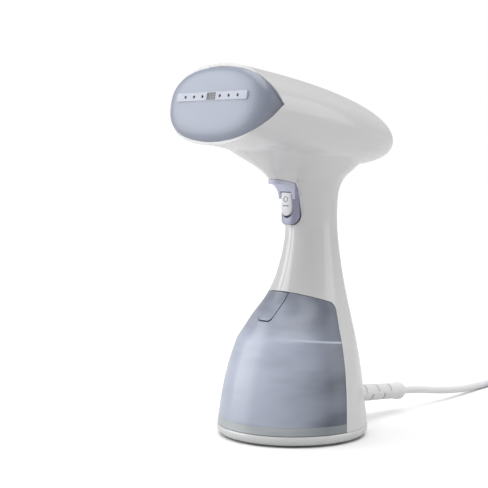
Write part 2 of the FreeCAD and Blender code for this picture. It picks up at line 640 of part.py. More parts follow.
def make_heater_trim():
    bend, radius = size("element_bend"), size("element_radius")
    level = size("heater_low") - radius
    turn, tail = size("heater_front") + bend + 8, size("heater_back") + 8
    right, left = Vector(bend, tail, level), Vector(-bend, tail, level)
    near_right, near_left = Vector(bend, turn, level), Vector(-bend, turn, level)
    arc = Part.Arc(near_right, Vector(0, turn - bend, level), near_left).toShape()
    path = Part.Wire([Part.LineSegment(right, near_right).toShape(), arc,
                      Part.LineSegment(near_left, left).toShape()])
    bar = path.makePipeShell([Part.Wire(Part.makeCircle(radius, right, Vector(0, 1, 0)))], True, False)
    keep(shaped("heating_element", bar, head_place()))
    tabs = [primitive("Box", f"element_tab{i}", in_head(x - 2.4, tail, level - 0.4), Length="4.8", Width="8",
                      Height="0.8") for i, x in enumerate((-bend, bend))]
    keep(group("element_terminals", tabs))
    bushes = []
    for i, (side, along) in enumerate((s, a) for s in (-1, 1) for a in (32, 70)):
        bushes.append(primitive("Cylinder", f"mount_bush{i}", in_head(side * size("heater_half"), along, -3, (side, 0, 0)),
                                Radius="4.5", Height="10.5"))
    keep(group("heater_mounts", bushes))
    front, offset = size("heater_front"), size("strip_offset")
    duct = head_box((-37, -1.2, offset - 4.4), (37, front, offset + 4.4))
    throat = head_box((-35.5, -2, offset - 2.9), (35.5, front - 1.6, offset + 2.9))
    port = head_box((-29, front - 3, 0.5), (29, front + 1, 3.5))
    keep(shaped("steam_duct", duct.cut([throat, port])))
    lip = head_box((-37, -1.7, offset - 4.4), (37, -1.2, offset + 4.4))
    keep(shaped("panel_gasket", lip.cut(head_box((-35.5, -3, offset - 2.9), (35.5, 0, offset + 2.9)))))
    lid = size("heater_high + gasket_thick + heater_lid")
    disc = primitive("Cylinder", "thermostat_can", in_head(0, 44, lid), Radius="8", Height="4.5")
    cap = primitive("Cylinder", "thermostat_cap", in_head(0, 44, lid + 4.5), Radius="6", Height="2")
    ears = [primitive("Box", f"thermostat_ear{i}", in_head(x, 42, lid + 6.5), Length="7", Width="4", Height="0.8")
            for i, x in enumerate((-8, 1))]
    keep(fuse("thermostat", disc, cap, *ears))
    fuse_can = primitive("Cylinder", "fuse_can", in_head(14, 60, lid + 2.1, (1, 0, 0)), Radius="2.1", Height="11")
    wires = [primitive("Cylinder", f"fuse_wire{i}", in_head(x, 60, lid + 2.1, (1, 0, 0)), Radius="0.5", Height="5")
             for i, x in enumerate((9, 25))]
    keep(fuse("thermal_fuse", fuse_can, *wires))
    strap = head_box((17, 56, lid), (21, 64, lid + 5.2)).cut(head_box((16, 57.4, lid - 1), (22, 62.6, lid + 4.4)))
    keep(shaped("fuse_clip", strap))


# ---- trigger --------------------------------------------------------------------------------

def bezel_block(nose, grow=0):
    """The trigger surround's rounded block: half-round below, slanted roof, seated on the plain grip."""
    half, low, high = size("bezel_half") + grow, size("bezel_low") - grow, size("bezel_high") + grow
    back, back_top = 12, size("bezel_high_back") + grow
    block = nose_prism(half, nose + grow, low, high, back).common(arch_prism(half, low, high, -40, back))
    roof = extruded([(-30, high), (-20, high), (0, back_top), (back, back_top), (back, high + 9), (-30, high + 9)],
                    -20, 20)
    return block.cut([roof, level_loft(GRIP, grow)])


def make_trigger():
    low, high, half = size("bezel_low"), size("bezel_high"), size("bezel_half")
    curve, start = size("hook_curve"), size("hook_start")
    hook = bezel_block(size("hook_nose")).common(box((-20, -30, start), (20, 20, high)))
    middle = 0.5 - size("bezel_nose") - curve
    under = [rod(curve, (-20, middle, start), (20, middle, start)),
             box((-20, -40, start - 1), (20, middle, start + 0.97 * curve))]
    body = bezel_block(size("bezel_nose")).fuse(hook.cut(under))
    lower_casing = outer_form(0).common(box((-40, -40, 140), (40, 40, start)))
    body = body.cut(lower_casing)
    sleeve = nose_prism(half, size("bezel_nose"), low, high, 9).common(arch_prism(6.8, 154, 178.8, -4.5, 9))
    body = body.fuse(sleeve)
    slack = size("seam_gap")
    window = arch_prism(size("button_half") + slack, size("button_low") - slack - 1,
                        size("button_high") + slack, -30, 20)
    keep(shaped("switch_bezel", body.cut(window)))
    button_half, button_low, button_high = size("button_half"), size("button_low"), size("button_high")
    button = nose_prism(half, size("bezel_nose + button_proud"), button_low, button_high, 6.8)
    button = button.common(arch_prism(button_half, button_low, button_high, -20, 20))
    front_edges = [e for e in button.Edges if e.BoundBox.YMax < 2.5]
    keep(shaped("steam_button", button.makeFillet(0.4, front_edges)))
    keep(spring("button_spring", at(0, 7.1, 160.2, (0, 1, 0)), 2.2, 0.3, 1.55, 6.6))
    case = primitive("Box", "switch_case", at(-3.2, 10.4, 164), Length="6.4", Width="7.6", Height="12.8")
    nub = primitive("Cylinder", "switch_nub", at(0, 9.6, 171, (0, 1, 0)), Radius="1", Height="1")
    legs = [primitive("Box", f"switch_leg{i}", at(-0.4, 18, z), Length="0.8", Width="5", Height="2.4")
            for i, z in enumerate((165.4, 172.6))]
    keep(fuse("micro_switch", case, nub, *legs))
    carrier = primitive("Box", "carrier_plate", at(-15, 18, 153), Length="30", Width="1.8", Height="26")
    slots = [primitive("Box", f"carrier_slot{i}", at(-1.2, 16, z), Length="2.4", Width="6", Height="3.6")
             for i, z in enumerate((164.8, 172))]
    keep(cut("switch_carrier", carrier, group("carrier_slots", slots)))


# ---- tank -----------------------------------------------------------------------------------

def latch_outline(grow, drop=0):
    top, low = size("latch_top_half") + grow, size("latch_low_half") + grow
    foot, slant = size("latch_low") - grow - drop, 1.8
    return [(-top, 112), (-low, foot + slant), (-low + slant, foot), (low - slant, foot), (low, foot + slant),
            (top, 112)]


def pin_spot():
    """Middle of the latch's pivot pin: y, z."""
    return -14.2, 96.5


def make_tank():
    gap, wall, foot = size("seam_gap"), 2.2, size("foot_height")
    form = level_loft(STAND, 0).fuse(level_loft(HANDLE, 0))
    room = level_loft(STAND, wall).fuse(level_loft(HANDLE, wall))
    pocket = level_loft(HANDLE, -6).cut(level_loft(HANDLE, 8)).common(corner_prism(latch_outline(gap, 0.8), 40, -50))
    behind = level_loft(HANDLE, -6).cut(level_loft(HANDLE, 10)).common(corner_prism(latch_outline(gap + 1.8), 44, -50))
    cavity = room.common(tank_bay(-gap - wall, foot + gap + wall)).cut(behind)
    solid = form.common(tank_bay(-gap, foot + gap)).cut(cavity).cut(pocket)
    split = foot + size("band_height")
    pin_y, pin_z = pin_spot()
    port = size("outlet_height")
    lean = (size("bay_back_middle") - size("bay_back_low")) / (size("shoulder_height") - foot)
    normal = Vector(0, 1, -lean).normalize()
    plug_z = 58
    plug_spot = Vector(0, size("bay_back_low") + lean * (plug_z - foot) - gap, plug_z)
    inward = plug_spot - normal * 12
    holes = [rod(6, (0, -10, port), (0, 8, port)), rod(8, tuple(inward), tuple(plug_spot + normal * 4)),
             rod(size("latch_pin_radius"), (-10.4, pin_y, pin_z), (10.4, pin_y, pin_z))]
    shell = solid.common(box((-80, -90, split), (80, 60, 130))).cut(holes)
    keep(shaped("tank_shell", shell))
    keep(shaped("tank_base", solid.common(box((-80, -90, 0), (80, 60, split))).cut(holes[0])))
    bung = [rod(8, tuple(plug_spot - normal * 3), tuple(plug_spot)),
            rod(9, tuple(plug_spot - normal * 4.4), tuple(plug_spot - normal * (wall + 0.05)))]
    grip = rod(5.5, tuple(plug_spot - normal * 1.2), tuple(plug_spot + normal * 1))
    keep(shaped("filler_plug", bung[0].fuse(bung[1]).cut(grip)))
    make_latch(form, pin_y, pin_z)


def make_latch(form, pin_y, pin_z):
    gap = size("seam_gap")
    slab = level_loft(HANDLE, -1.2).cut(level_loft(HANDLE, size("latch_thick")))
    slab = slab.common(corner_prism(latch_outline(0), 44, -50)).common(tank_bay(-gap - 0.3, 60))
    knuckle = rod(2.5, (-5, pin_y, pin_z), (5, pin_y, pin_z))
    web = box((-5, pin_y - 6.5, pin_z - 2.2), (5, pin_y, pin_z + 2.2)).common(level_loft(HANDLE, 0))
    latch = slab.fuse([knuckle, web]).cut(rod(size("latch_pin_radius") + 0.05, (-12, pin_y, pin_z), (12, pin_y, pin_z)))
    keep(shaped("tank_latch", latch))
    keep(primitive("Cylinder", "latch_pin", at(-10, pin_y, pin_z, (1, 0, 0)), Radius="latch_pin_radius",
                   Height="20"))
    keep(spring("latch_spring", at(0, -22.35, 88.6, (0, 1, 0)), 1.8, 0.25, 0.88, 3.3))


def make_valve():
    z, bore = size("outlet_height"), size("outlet_bore")
    keep(turned("tank_outlet", [("2.2", "0"), ("6", "0"), ("6", "9.3"), ("outlet_bore", "9.3"),
                                ("outlet_bore", "3"), ("2.2", "3")], at(0, -9, z, (0, 1, 0))))
    keep(turned("tank_valve", [("0", "0"), ("3.2", "0"), ("3.2", "1.2"), ("1", "2.2"), ("1", "6.9"), ("2.4", "6.9"),
                               ("2.4", "7.7"), ("0", "7.7")], at(0, -10.3 - 0.9, z, (0, 1, 0))))
    keep(spring("valve_spring", at(0, -5.75, z, (0, 1, 0)), 1.7, 0.2, 0.55, 2))
    keep(turned("inlet_spigot", [("1.5", "0"), ("spigot_radius", "0"), ("spigot_radius", "3.5"), ("5.6", "3.5"),
                                 ("5.6", "7"), ("2.4", "7"), ("2.4", "9"), ("1.45", "9"), ("1.45", "15"),
                                 ("0.9", "15"), ("0.9", "8"), ("1.5", "8")], at(0, -2.2, z, (0, 1, 0))))
    keep(primitive("Torus", "inlet_seal", at(0, 1.0, z, (0, 1, 0)), Radius1="4.6", Radius2="0.3"))


# ---- pump and plumbing ------------------------------------------------------------------------

def make_pump():
    y = size("pump_y")
    keep(turned("pump_coil", [("pump_bore", "0"), ("pump_radius", "0"), ("pump_radius", "pump_coil_length"),
                              ("pump_bore", "pump_coil_length")], at(0, y, size("pump_low"))))
    length = "barrel_high - barrel_low"
    keep(turned("pump_barrel", [
        ("0.9", "-4"), ("nipple_radius", "-4"), ("nipple_radius", "0"), ("barrel_radius", "0"),
        ("barrel_radius", length), ("nipple_radius", length), ("nipple_radius", length + " + 4"),
        ("0.9", length + " + 4"), ("0.9", length + " - 3"), ("barrel_bore", length + " - 3"),
        ("barrel_bore", "3"), ("0.9", "3")], at(0, y, size("barrel_low"))))
    keep(turned("pump_plunger", [("1.2", "0"), ("plunger_radius", "0"), ("plunger_radius", "20"), ("1.2", "20")],
                at(0, y, 40)))
    keep(spring("pump_spring", at(0, y, 60.65), 3.6, 0.5, 2.9, 5))
    plates = [primitive("Box", f"bracket_plate{i}", at(-16 + 1.3, y - 14, z), Length="29.4", Width="28", Height="1.6")
              for i, z in enumerate((size("pump_low") - 1.6, size("pump_low + pump_coil_length")))]
    sides = [primitive("Box", f"bracket_side{i}", at(x, y - 9, size("pump_low") - 1.6), Length="1.4", Width="18",
                       Height="pump_coil_length + 3.2") for i, x in enumerate((-14.7, 13.3))]
    bore = primitive("Cylinder", "bracket_bore", at(0, y, 30), Radius="barrel_radius", Height="50")
    keep(cut("pump_bracket", fuse("bracket_frame", *plates, *sides), bore))


def make_hoses():
    y, port = size("pump_y"), size("outlet_height")
    hose, bore = size("hose_radius"), size("hose_bore")
    keep(tube("suction_hose", [(0, 7.2, port), (0, 17, port), (0, 27, port + 1), (0, y, 31)], hose, bore))
    inlet = in_head(0, size("heater_back") + 0.2, 2).Base
    ahead = in_head(0, size("heater_back") + 9, 1).Base
    route = [(0, y, size("barrel_high") + 1), (0, y, 92), (0, 24.3, 122), (0, 24.3, 146), (0, 28, 160), (0, 27, 190),
             (0, 27.5, 208), tuple(ahead), tuple(inlet)]
    keep(tube("pressure_hose", route, hose, bore))


# ---- electrics --------------------------------------------------------------------------------

def make_board():
    half_x, half_y, thick = 14, 15, 1.6
    x, y = 17, 50
    holes = [("1.2", post_x - x, post_y - y) for post_x, post_y in BOARD_POSTS]
    keep(plate("control_board", str(half_x), str(half_y), str(thick), at(x, y, BOARD_LEVEL), holes))
    top = BOARD_LEVEL + thick
    relay = primitive("Box", "board_relay", at(12, 49, top), Length="12", Width="10", Height="8")
    capacitor = primitive("Cylinder", "board_capacitor", at(15, 42, top), Radius="3.4", Height="9")
    clamp = primitive("Box", "board_terminal", at(17, 37, top), Length="13", Width="6", Height="7")
    keep(group("board_parts", [relay, capacitor, clamp]))
    spots = [at(post_x, post_y, top) for post_x, post_y in BOARD_POSTS]
    keep(screws("board_screws", spots, "7", head="2.1", shank="1.1"))
    wires = []
    for i, side in enumerate((-1, 1)):
        route = [(side * 2.2, 33.6, 22.8), (side * 8, 32, 25), (side * 18, 31, 36), (side * 18, 31, 72),
                 (side * 12, 29, 96), (side * 8, 25.5, 122), (side * 8, 25.5, 150), (side * 8, 32.5, 180),
                 (9 + 2.5 * side, 32.5, 199), (19 + 2.5 * side, 32.3, 210)]
        wires.append(tube(f"mains_wire{i}", route, 0.9))
    keep(group("mains_wires", wires))


def make_lead():
    drop = math.radians(size("boot_drop"))
    facing = (0, math.cos(drop), -math.sin(drop))
    start, tip = size("boot_start"), size("boot_end")
    length = (tip - start) / math.cos(drop)
    body = turned("boot_body", [
        ("0", "0"), ("8", "0"), ("8", "3.4"), ("5.5", "3.4"), ("5.5", "11.4"), ("boot_root_radius", "11.6"),
        ("boot_tip_radius", str(length - 9)), ("boot_bead_radius", str(length - 6)),
        ("boot_bead_radius", str(length - 1.5)), ("boot_bead_radius - 1.6", str(length)), ("0", str(length))],
        at(*boot_point(start), facing))
    slots = []
    for i in range(7):
        spot = at(*boot_point(start), facing).multiply(at(-10, -0.5 if i % 2 else -9.5, 16 + 7.2 * i))
        slots.append(primitive("Box", f"boot_slot{i}", spot, Length="20", Width="10", Height="2.2"))
    core = primitive("Cylinder", "boot_core", at(*boot_point(start), facing), Radius="4",
                     Height=str(length - 1))
    keep(fuse("cord_boot", cut("boot_slotted", body, group("boot_slots", slots)), core))
    lead = size("lead_radius")
    keep(tube("inner_lead", [boot_point(34), boot_point(start)], lead))
    level = boot_point(37, lead)[2]
    bar = primitive("Box", "clamp_bar", at(-9.4, 34.4, level), Length="18.8", Width="5.2", Height="2.6")
    bores = [primitive("Cylinder", f"clamp_bore{i}", at(x, 37, level - 1), Radius="1.15", Height="5")
             for i, x in enumerate(CLAMP_POSTS)]
    keep(cut("cord_clamp", bar, group("clamp_bores", bores)))
    keep(screws("clamp_screws", [at(x, 37, level + 2.6) for x in CLAMP_POSTS], "9", head="2.2", shank="1.1"))


def lead_route():
    """Free lead from the strain relief's tip, down to the floor and on to the stored coil."""
    rest = size("lead_radius") + 0.05
    return [boot_point(size("boot_end")), boot_point(size("boot_end") + 19), (-1.5, 165, 10.2), (-5, 194, 6.3),
            (-10, 222, 3.9), (-15.5, 250, rest), (-17.5, 281, rest)]


def plug_route():
    """The last of the lead, from the top of the coil down and round into the plug."""
    rest = 0.05 + size("plug_thick") / 2
    x, y = size("coil_x"), size("coil_y") + size("coil_mid_radius")
    return [(x + 27, y, 14.7), (x + 46, y + 0.5, 10.5), (x + 64, y - 4, 7.5), (x + 72, y - 17, rest),
            (x + 72.5, y - 34, rest)]


def make_cord():
    lead = size("lead_radius")
    route = lead_route()
    runs = [tube("lead_run", route + [tuple(coil_entry())], lead), tube("plug_run", plug_route(), lead)]
    keep(group("power_cord", runs))
    spread = size("coil_turns_wide") * lead
    middle = size("coil_mid_radius")
    keep(turned("cord_coil", [(str(middle - spread - 0.6), "0"), (str(middle + spread + 0.6), "0"),
                              (str(middle + spread + 0.6), "coil_layers * lead_radius * 2"),
                              (str(middle - spread - 0.6), "coil_layers * lead_radius * 2")],
                at(size("coil_x"), size("coil_y"), 0.05)))


def coil_entry():
    """Where the lead runs into the outside of the coil, square to it."""
    outside = size("coil_mid_radius") + size("coil_turns_wide") * size("lead_radius") + 0.6
    angle = math.radians(200)
    return Vector(size("coil_x") + outside * math.cos(angle), size("coil_y") + outside * math.sin(angle),
                  size("lead_radius") + 0.05)


def make_plug():
    length = size("plug_length")
    x, y, z = plug_route()[-1]
    body = doc.addObject("PartDesign::Body", "plug_body")
    body.Placement = Placement(Vector(x, y, 0.05), Rotation(Vector(0, 0, 1), 180))
    sketch = sketch_on(body, "XY_Plane")
    outline(sketch, [("-plug_width / 2", "plug_length"), ("-plug_width / 2", "plug_length * 0.55"),
                     ("-5", "0"), ("5", "0"), ("plug_width / 2", "plug_length * 0.55"),
                     ("plug_width / 2", "plug_length")])
    padded(body, sketch, "plug_thick")
    doc.recompute()
    keep(body)
    prongs = [primitive("Cylinder", f"prong{i}", at(x + side * size("prong_pitch") / 2, y - length,
                                                    z, (0, -1, 0)),
                        Radius="prong_radius", Height="prong_length") for i, side in enumerate((-1, 1))]
    keep(group("plug_pins", prongs))


# ---- build, check and write -------------------------------------------------------------------

for maker in (make_casing, make_foot, make_panel, make_heater, make_heater_trim, make_trigger, make_tank,
              make_valve, make_pump, make_hoses, make_board, make_lead, make_cord, make_plug):
    maker()
doc.recompute()

os.makedirs("parts", exist_ok=True)
for thing in doc.Objects:
    if {"Invalid", "Error"} & set(thing.State):
        raise RuntimeError(f"{thing.Label} failed to build: {thing.State}")
for piece in pieces:
    if piece.Shape.isNull() or not piece.Shape.isValid() or not piece.Shape.Solids:
        raise RuntimeError(f"{piece.Label} has no valid solid")
    piece.Shape.exportStep(f"parts/{piece.Label}.step")
    print(f"{piece.Label}: solids {len(piece.Shape.Solids)}, volume {piece.Shape.Volume:.0f}")
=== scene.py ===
# A handheld garment steamer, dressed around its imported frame
import math

import bmesh
import bpy
from mathutils import Matrix, Vector


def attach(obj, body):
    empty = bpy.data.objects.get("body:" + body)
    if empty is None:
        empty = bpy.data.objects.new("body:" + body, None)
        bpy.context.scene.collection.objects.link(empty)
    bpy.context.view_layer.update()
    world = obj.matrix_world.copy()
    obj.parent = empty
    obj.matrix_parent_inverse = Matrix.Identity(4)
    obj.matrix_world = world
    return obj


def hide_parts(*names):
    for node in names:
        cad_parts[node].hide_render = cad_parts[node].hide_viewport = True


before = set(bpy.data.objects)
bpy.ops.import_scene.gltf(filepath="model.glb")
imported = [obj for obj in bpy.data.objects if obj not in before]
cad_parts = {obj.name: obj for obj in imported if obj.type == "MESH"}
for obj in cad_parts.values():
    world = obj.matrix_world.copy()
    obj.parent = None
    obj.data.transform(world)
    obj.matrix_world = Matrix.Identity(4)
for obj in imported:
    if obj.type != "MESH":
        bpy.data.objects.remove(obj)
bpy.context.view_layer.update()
mm = 0.001
print("frame loaded")


# the camera

cameraSettings = {"place": (0.66068, -0.66394, 0.20143), "turn": 47.0, "tip": 3.916, "lens": 95.9}


def makeCamera(s):
    data = bpy.data.cameras.new("camera")
    data.lens = s["lens"]
    data.clip_start = 0.05
    camera = bpy.data.objects.new("camera", data)
    camera.location = s["place"]
    camera.rotation_euler = (math.radians(90 - s["tip"]), 0, math.radians(s["turn"]))
    bpy.context.scene.collection.objects.link(camera)
    bpy.context.scene.camera = camera


makeCamera(cameraSettings)


# shader nodes

class Socket:
    # an output socket; sums and products with it add Math nodes
    def __init__(self, maker, link):
        self.maker, self.link = maker, link

    def maths(self, operation, *values, clamp=False):
        return self.maker.node("ShaderNodeMath", {"operation": operation, "use_clamp": clamp}, *values)

    def __add__(self, other):
        return self.maths("ADD", self, other)

    def __sub__(self, other):
        return self.maths("SUBTRACT", self, other)

    def __rsub__(self, other):
        return self.maths("SUBTRACT", other, self)

    def __mul__(self, other):
        return self.maths("MULTIPLY", self, other)

    def __truediv__(self, other):
        return self.maths("DIVIDE", self, other)

    __radd__, __rmul__ = __add__, __mul__

    def power(self, other):
        return self.maths("POWER", self, other)

    def clamped(self):
        return self.maths("ADD", self, 0.0, clamp=True)


class Wiring:
    # a node tree, and short ways to add to it
    def __init__(self, tree):
        self.tree = tree

    def node(self, kind, settings, *values, output=0, **named):
        made = self.tree.nodes.new(kind)
        for key, value in settings.items():
            if key == "stops":
                ramp = made.color_ramp
                for spot, colour in value:
                    ramp.elements.new(spot).color = (*colour, 1)
                ramp.elements.remove(ramp.elements[0])
                ramp.elements.remove(ramp.elements[-1])
            else:
                setattr(made, key, value)
        for place, value in [*enumerate(values), *named.items()]:
            self.feed(made.inputs[place], value)
        return Socket(self, made.outputs[output])

    def feed(self, socket, value):
        if isinstance(value, Socket):
            self.tree.links.new(value.link, socket)
        elif value is not None:
            socket.default_value = value

    def parts(self, vector):
        split = self.tree.nodes.new("ShaderNodeSeparateXYZ")
        self.feed(split.inputs[0], vector)
        return [Socket(self, out) for out in split.outputs]

    def span(self, value, low, high, toLow=0.0, toHigh=1.0):
        # smooth step of a value between two limits
        kind = {"interpolation_type": "SMOOTHSTEP"}
        return self.node("ShaderNodeMapRange", kind, value, low, high, toLow, toHigh)

    def mix(self, share, first, second):
        made = self.tree.nodes.new("ShaderNodeMix")
        made.data_type = "RGBA"
        for place, value in zip((0, 6, 7), (share, first, second)):
            self.feed(made.inputs[place], value)
        return Socket(self, made.outputs[2])


class Finish(Wiring):
    # one material and the nodes that feed it
    def __init__(self, name):
        self.material = bpy.data.materials.new(name)
        self.material.use_nodes = True
        super().__init__(self.material.node_tree)
        self.shader = self.tree.nodes["Principled BSDF"]

    def place(self):
        return self.node("ShaderNodeTexCoord", {}, output="Object")

    def axes(self):
        return self.parts(self.place())

    def noise(self, scale, detail=2.0, rough=0.5):
        return self.node("ShaderNodeTexNoise", {}, self.place(), Scale=scale, Detail=detail, Roughness=rough)

    def bump(self, height, strength, distance=0.0002):
        made = self.node("ShaderNodeBump", {}, Strength=strength, Distance=distance, Height=height)
        self.feed(self.shader.inputs["Normal"], made)

    def set(self, **values):
        for key, value in values.items():
            self.feed(self.shader.inputs[key.replace("_", " ")], value)


def rgb(colour):
    return (*colour, 1)


# colour, roughness and coat, how fine and how deep the moulded texture is, and how far the colour drifts
plasticFinishes = {
    "casingWhite": dict(colour=(0.66, 0.66, 0.662), rough=0.16, coat=0.5, grain=900, depth=0.02, mottle=0.015),
    "footWhite": dict(colour=(0.66, 0.67, 0.665), rough=0.2, coat=0.4, grain=900, depth=0.02, mottle=0.02),
    "stripPale": dict(colour=(0.47, 0.50, 0.585), rough=0.3, coat=0.2, grain=700, depth=0.05, mottle=0.02),
    "ventGrey": dict(colour=(0.22, 0.23, 0.23), rough=0.45, coat=0.0, grain=500, depth=0.1, mottle=0.06),
    "markGrey": dict(colour=(0.30, 0.31, 0.33), rough=0.4, coat=0.0, grain=500, depth=0.05, mottle=0.04),
    "buttonGrey": dict(colour=(0.70, 0.71, 0.72), rough=0.3, coat=0.2, grain=800, depth=0.05, mottle=0.02),
    "softGrey": dict(colour=(0.22, 0.23, 0.245), rough=0.75, coat=0.0, grain=350, depth=0.3, mottle=0.08),
    "siliconeMilk": dict(colour=(0.70, 0.69, 0.66), rough=0.45, coat=0.0, grain=300, depth=0.1, mottle=0.05),
    "innerBlack": dict(colour=(0.025, 0.025, 0.028), rough=0.5, coat=0.0, grain=450, depth=0.2, mottle=0.2),
    "innerNylon": dict(colour=(0.64, 0.61, 0.54), rough=0.42, coat=0.0, grain=400, depth=0.1, mottle=0.06),
    "boardGreen": dict(colour=(0.015, 0.13, 0.055), rough=0.3, coat=0.3, grain=220, depth=0.15, mottle=0.3),
    "coilWrap": dict(colour=(0.55, 0.27, 0.05), rough=0.45, coat=0.1, grain=260, depth=0.3, mottle=0.25),
    "wireBrown": dict(colour=(0.12, 0.05, 0.02), rough=0.35, coat=0.1, grain=500, depth=0.1, mottle=0.1),
    "plugWhite": dict(colour=(0.72, 0.72, 0.725), rough=0.34, coat=0.1, grain=500, depth=0.12, mottle=0.02),
    "bootWhite": dict(colour=(0.78, 0.78, 0.785), rough=0.38, coat=0.1, grain=500, depth=0.12, mottle=0.02),
}

metalFinishes = {
    "zincSteel": dict(colour=(0.58, 0.59, 0.60), rough=0.32, stretch=(1, 1, 14), grain=260, depth=0.15),
    "castMetal": dict(colour=(0.50, 0.51, 0.52), rough=0.5, stretch=(1, 1, 1), grain=420, depth=0.5),
    "springSteel": dict(colour=(0.50, 0.51, 0.53), rough=0.28, stretch=(1, 1, 1), grain=300, depth=0.1),
    "brassPlain": dict(colour=(0.72, 0.50, 0.20), rough=0.3, stretch=(1, 1, 20), grain=240, depth=0.15),
    "pinNickel": dict(colour=(0.66, 0.65, 0.62), rough=0.18, stretch=(1, 8, 1), grain=300, depth=0.06),
}


def plastic(name, colour, rough, coat, grain, depth, mottle):
    f = Finish(name)
    cloud = f.noise(28.0, 3.0)
    darker = tuple(c * (1 - 2 * mottle) for c in colour)
    f.set(Base_Color=f.mix(cloud, rgb(darker), rgb(colour)), Coat_Weight=coat, Coat_Roughness=0.08)
    f.set(Roughness=rough + (f.noise(55.0, 3.0) - 0.5) * 0.12)
    f.bump(f.noise(float(grain), 2.0), depth)
    return f.material


def metal(name, colour, rough, stretch, grain, depth):
    f = Finish(name)
    turned = f.node("ShaderNodeMapping", {}, f.place(), Scale=stretch)
    lines = f.node("ShaderNodeTexNoise", {}, turned, Scale=float(grain), Detail=3.0)
    f.set(Base_Color=f.mix(lines, rgb(tuple(c * 0.82 for c in colour)), rgb(colour)), Metallic=1.0)
    f.set(Roughness=rough + (lines - 0.5) * 0.25)
    f.bump(lines, depth)
    return f.material


finishes = {name: plastic(name, **s) for name, s in plasticFinishes.items()}
finishes.update({name: metal(name, **s) for name, s in metalFinishes.items()})

# edge is the painted-shade colour for the panel's flanks, face its lit blue-grey
panelPaint = {"face": (0.335, 0.37, 0.455), "edge": (0.13, 0.14, 0.185), "rough": 0.34, "ahead": 0.074,
              "height": 0.2368, "tilt": 9}
# front and side are one lavender, lifted by a painted highlight on the front rim and darkened by painted shade on the
# sides
bezelPaint = {"front": (0.50, 0.51, 0.64), "side": (0.28, 0.28, 0.40), "rough": 0.3, "rim": (-0.0068, -0.0052)}
# light and dark are the tank plastic lit and in painted shade; band and bandDark are the same for its band
tankPaint = {"light": (0.455, 0.495, 0.60), "dark": (0.085, 0.10, 0.135), "shoulderHighlightColour": (0.62, 0.65, 0.78),
             "band": (0.45, 0.48, 0.50), "bandDark": (0.20, 0.22, 0.24), "rough": 0.3,
             # the shoulder highlight colour and the heights it spans make a painted highlight along the crease
             "shoulderHighlightFoot": (0.0690, 0.0700), "shoulderHighlightTop": (0.0712, 0.0702)}


def panelFinish(s):
    # blue-grey face; painted shade darkens it on the flanks behind the flat front and towards its outer edge
    f = Finish("panelBlue")
    x, y, z = f.axes()
    tilt, ahead, height = math.radians(s["tilt"]), s["ahead"], s["height"]
    along = (y + ahead) * math.cos(tilt) - (z - height) * math.sin(tilt)
    rise = (z - height) * math.cos(tilt) + (y + ahead) * math.sin(tilt)
    reach = (x * 20.2) * (x * 20.2) + (rise * 37.0) * (rise * 37.0)
    # painted shade mask: rises behind the flat front and towards the panel's outer edge
    flankShade = (f.span(along, -0.002, 0.017) * 0.72 + f.span(reach, 0.35, 1.05) * 0.42).clamped()
    f.set(Base_Color=f.mix(flankShade, rgb(s["face"]), rgb(s["edge"])), Coat_Weight=0.2, Coat_Roughness=0.2)
    f.set(Roughness=s["rough"] + (f.noise(60.0, 3.0) - 0.5) * 0.1)
    f.bump(f.noise(900.0), 0.03)
    return f.material


def bezelFinish(s):
    # lavender surround: a painted highlight makes its front rim paler, and painted shade darkens the sides behind it
    f = Finish("bezelLavender")
    x, y, z = f.axes()
    # painted highlight on the front rim, painted shade behind it
    rim = f.span(y, *s["rim"])
    f.set(Base_Color=f.mix(rim, rgb(s["front"]), rgb(s["side"])), Coat_Weight=0.2, Coat_Roughness=0.15)
    f.set(Roughness=s["rough"] + (f.noise(60.0, 3.0) - 0.5) * 0.1)
    f.bump(f.noise(900.0), 0.03)
    return f.material


def tankFinish(s, name, light, dark):
    # smoky translucent plastic with random cloudy patches; painted shade darkens it towards the spine, the side away
    # from the light, and it is also darker towards its foot
    f = Finish(name)
    x, y, z = f.axes()
    drift = (f.noise(22.0, 1.5) - 0.5) * 0.03
    # painted shade towards the spine
    back = f.span(y + drift - 0.04 * z, -0.046, 0.004)
    smear = f.node("ShaderNodeMapping", {}, f.place(), Scale=(1, 1, 3.5))
    cloud = f.span(f.node("ShaderNodeTexNoise", {}, smear, Scale=17.0, Detail=2.0), 0.42, 0.72)
    foot = f.span(z, 0.060, 0.015)
    share = (back * 0.8 + cloud * 0.24 + foot * 0.16).clamped()
    level = z + 0.1 * y
    # painted highlight along the shoulder crease, on the side that faces the light
    shoulderHighlightMask = f.span(level, *s["shoulderHighlightFoot"]) * f.span(level, *s["shoulderHighlightTop"]) * f.span(y, -0.035, -0.012)
    paint = f.mix(share, rgb(light), rgb(dark))
    f.set(Base_Color=f.mix(shoulderHighlightMask * 0.75, paint, rgb(s["shoulderHighlightColour"])), Coat_Weight=0.25, Coat_Roughness=0.18)
    f.set(Roughness=s["rough"] + (f.noise(50.0, 2.0) - 0.5) * 0.08)
    f.bump(f.noise(700.0), 0.02)
    return f.material


finishes["panelBlue"] = panelFinish(panelPaint)
finishes["bezelLavender"] = bezelFinish(bezelPaint)
finishes["tankSmoke"] = tankFinish(tankPaint, "tankSmoke", tankPaint["light"], tankPaint["dark"])
# the band takes the same painted shade, in its own greyer colours
finishes["bandSmoke"] = tankFinish(tankPaint, "bandSmoke", tankPaint["band"], tankPaint["bandDark"])


cordPaint = {"light": (0.79, 0.79, 0.795), "dark": (0.74, 0.74, 0.745), "rough": 0.4}


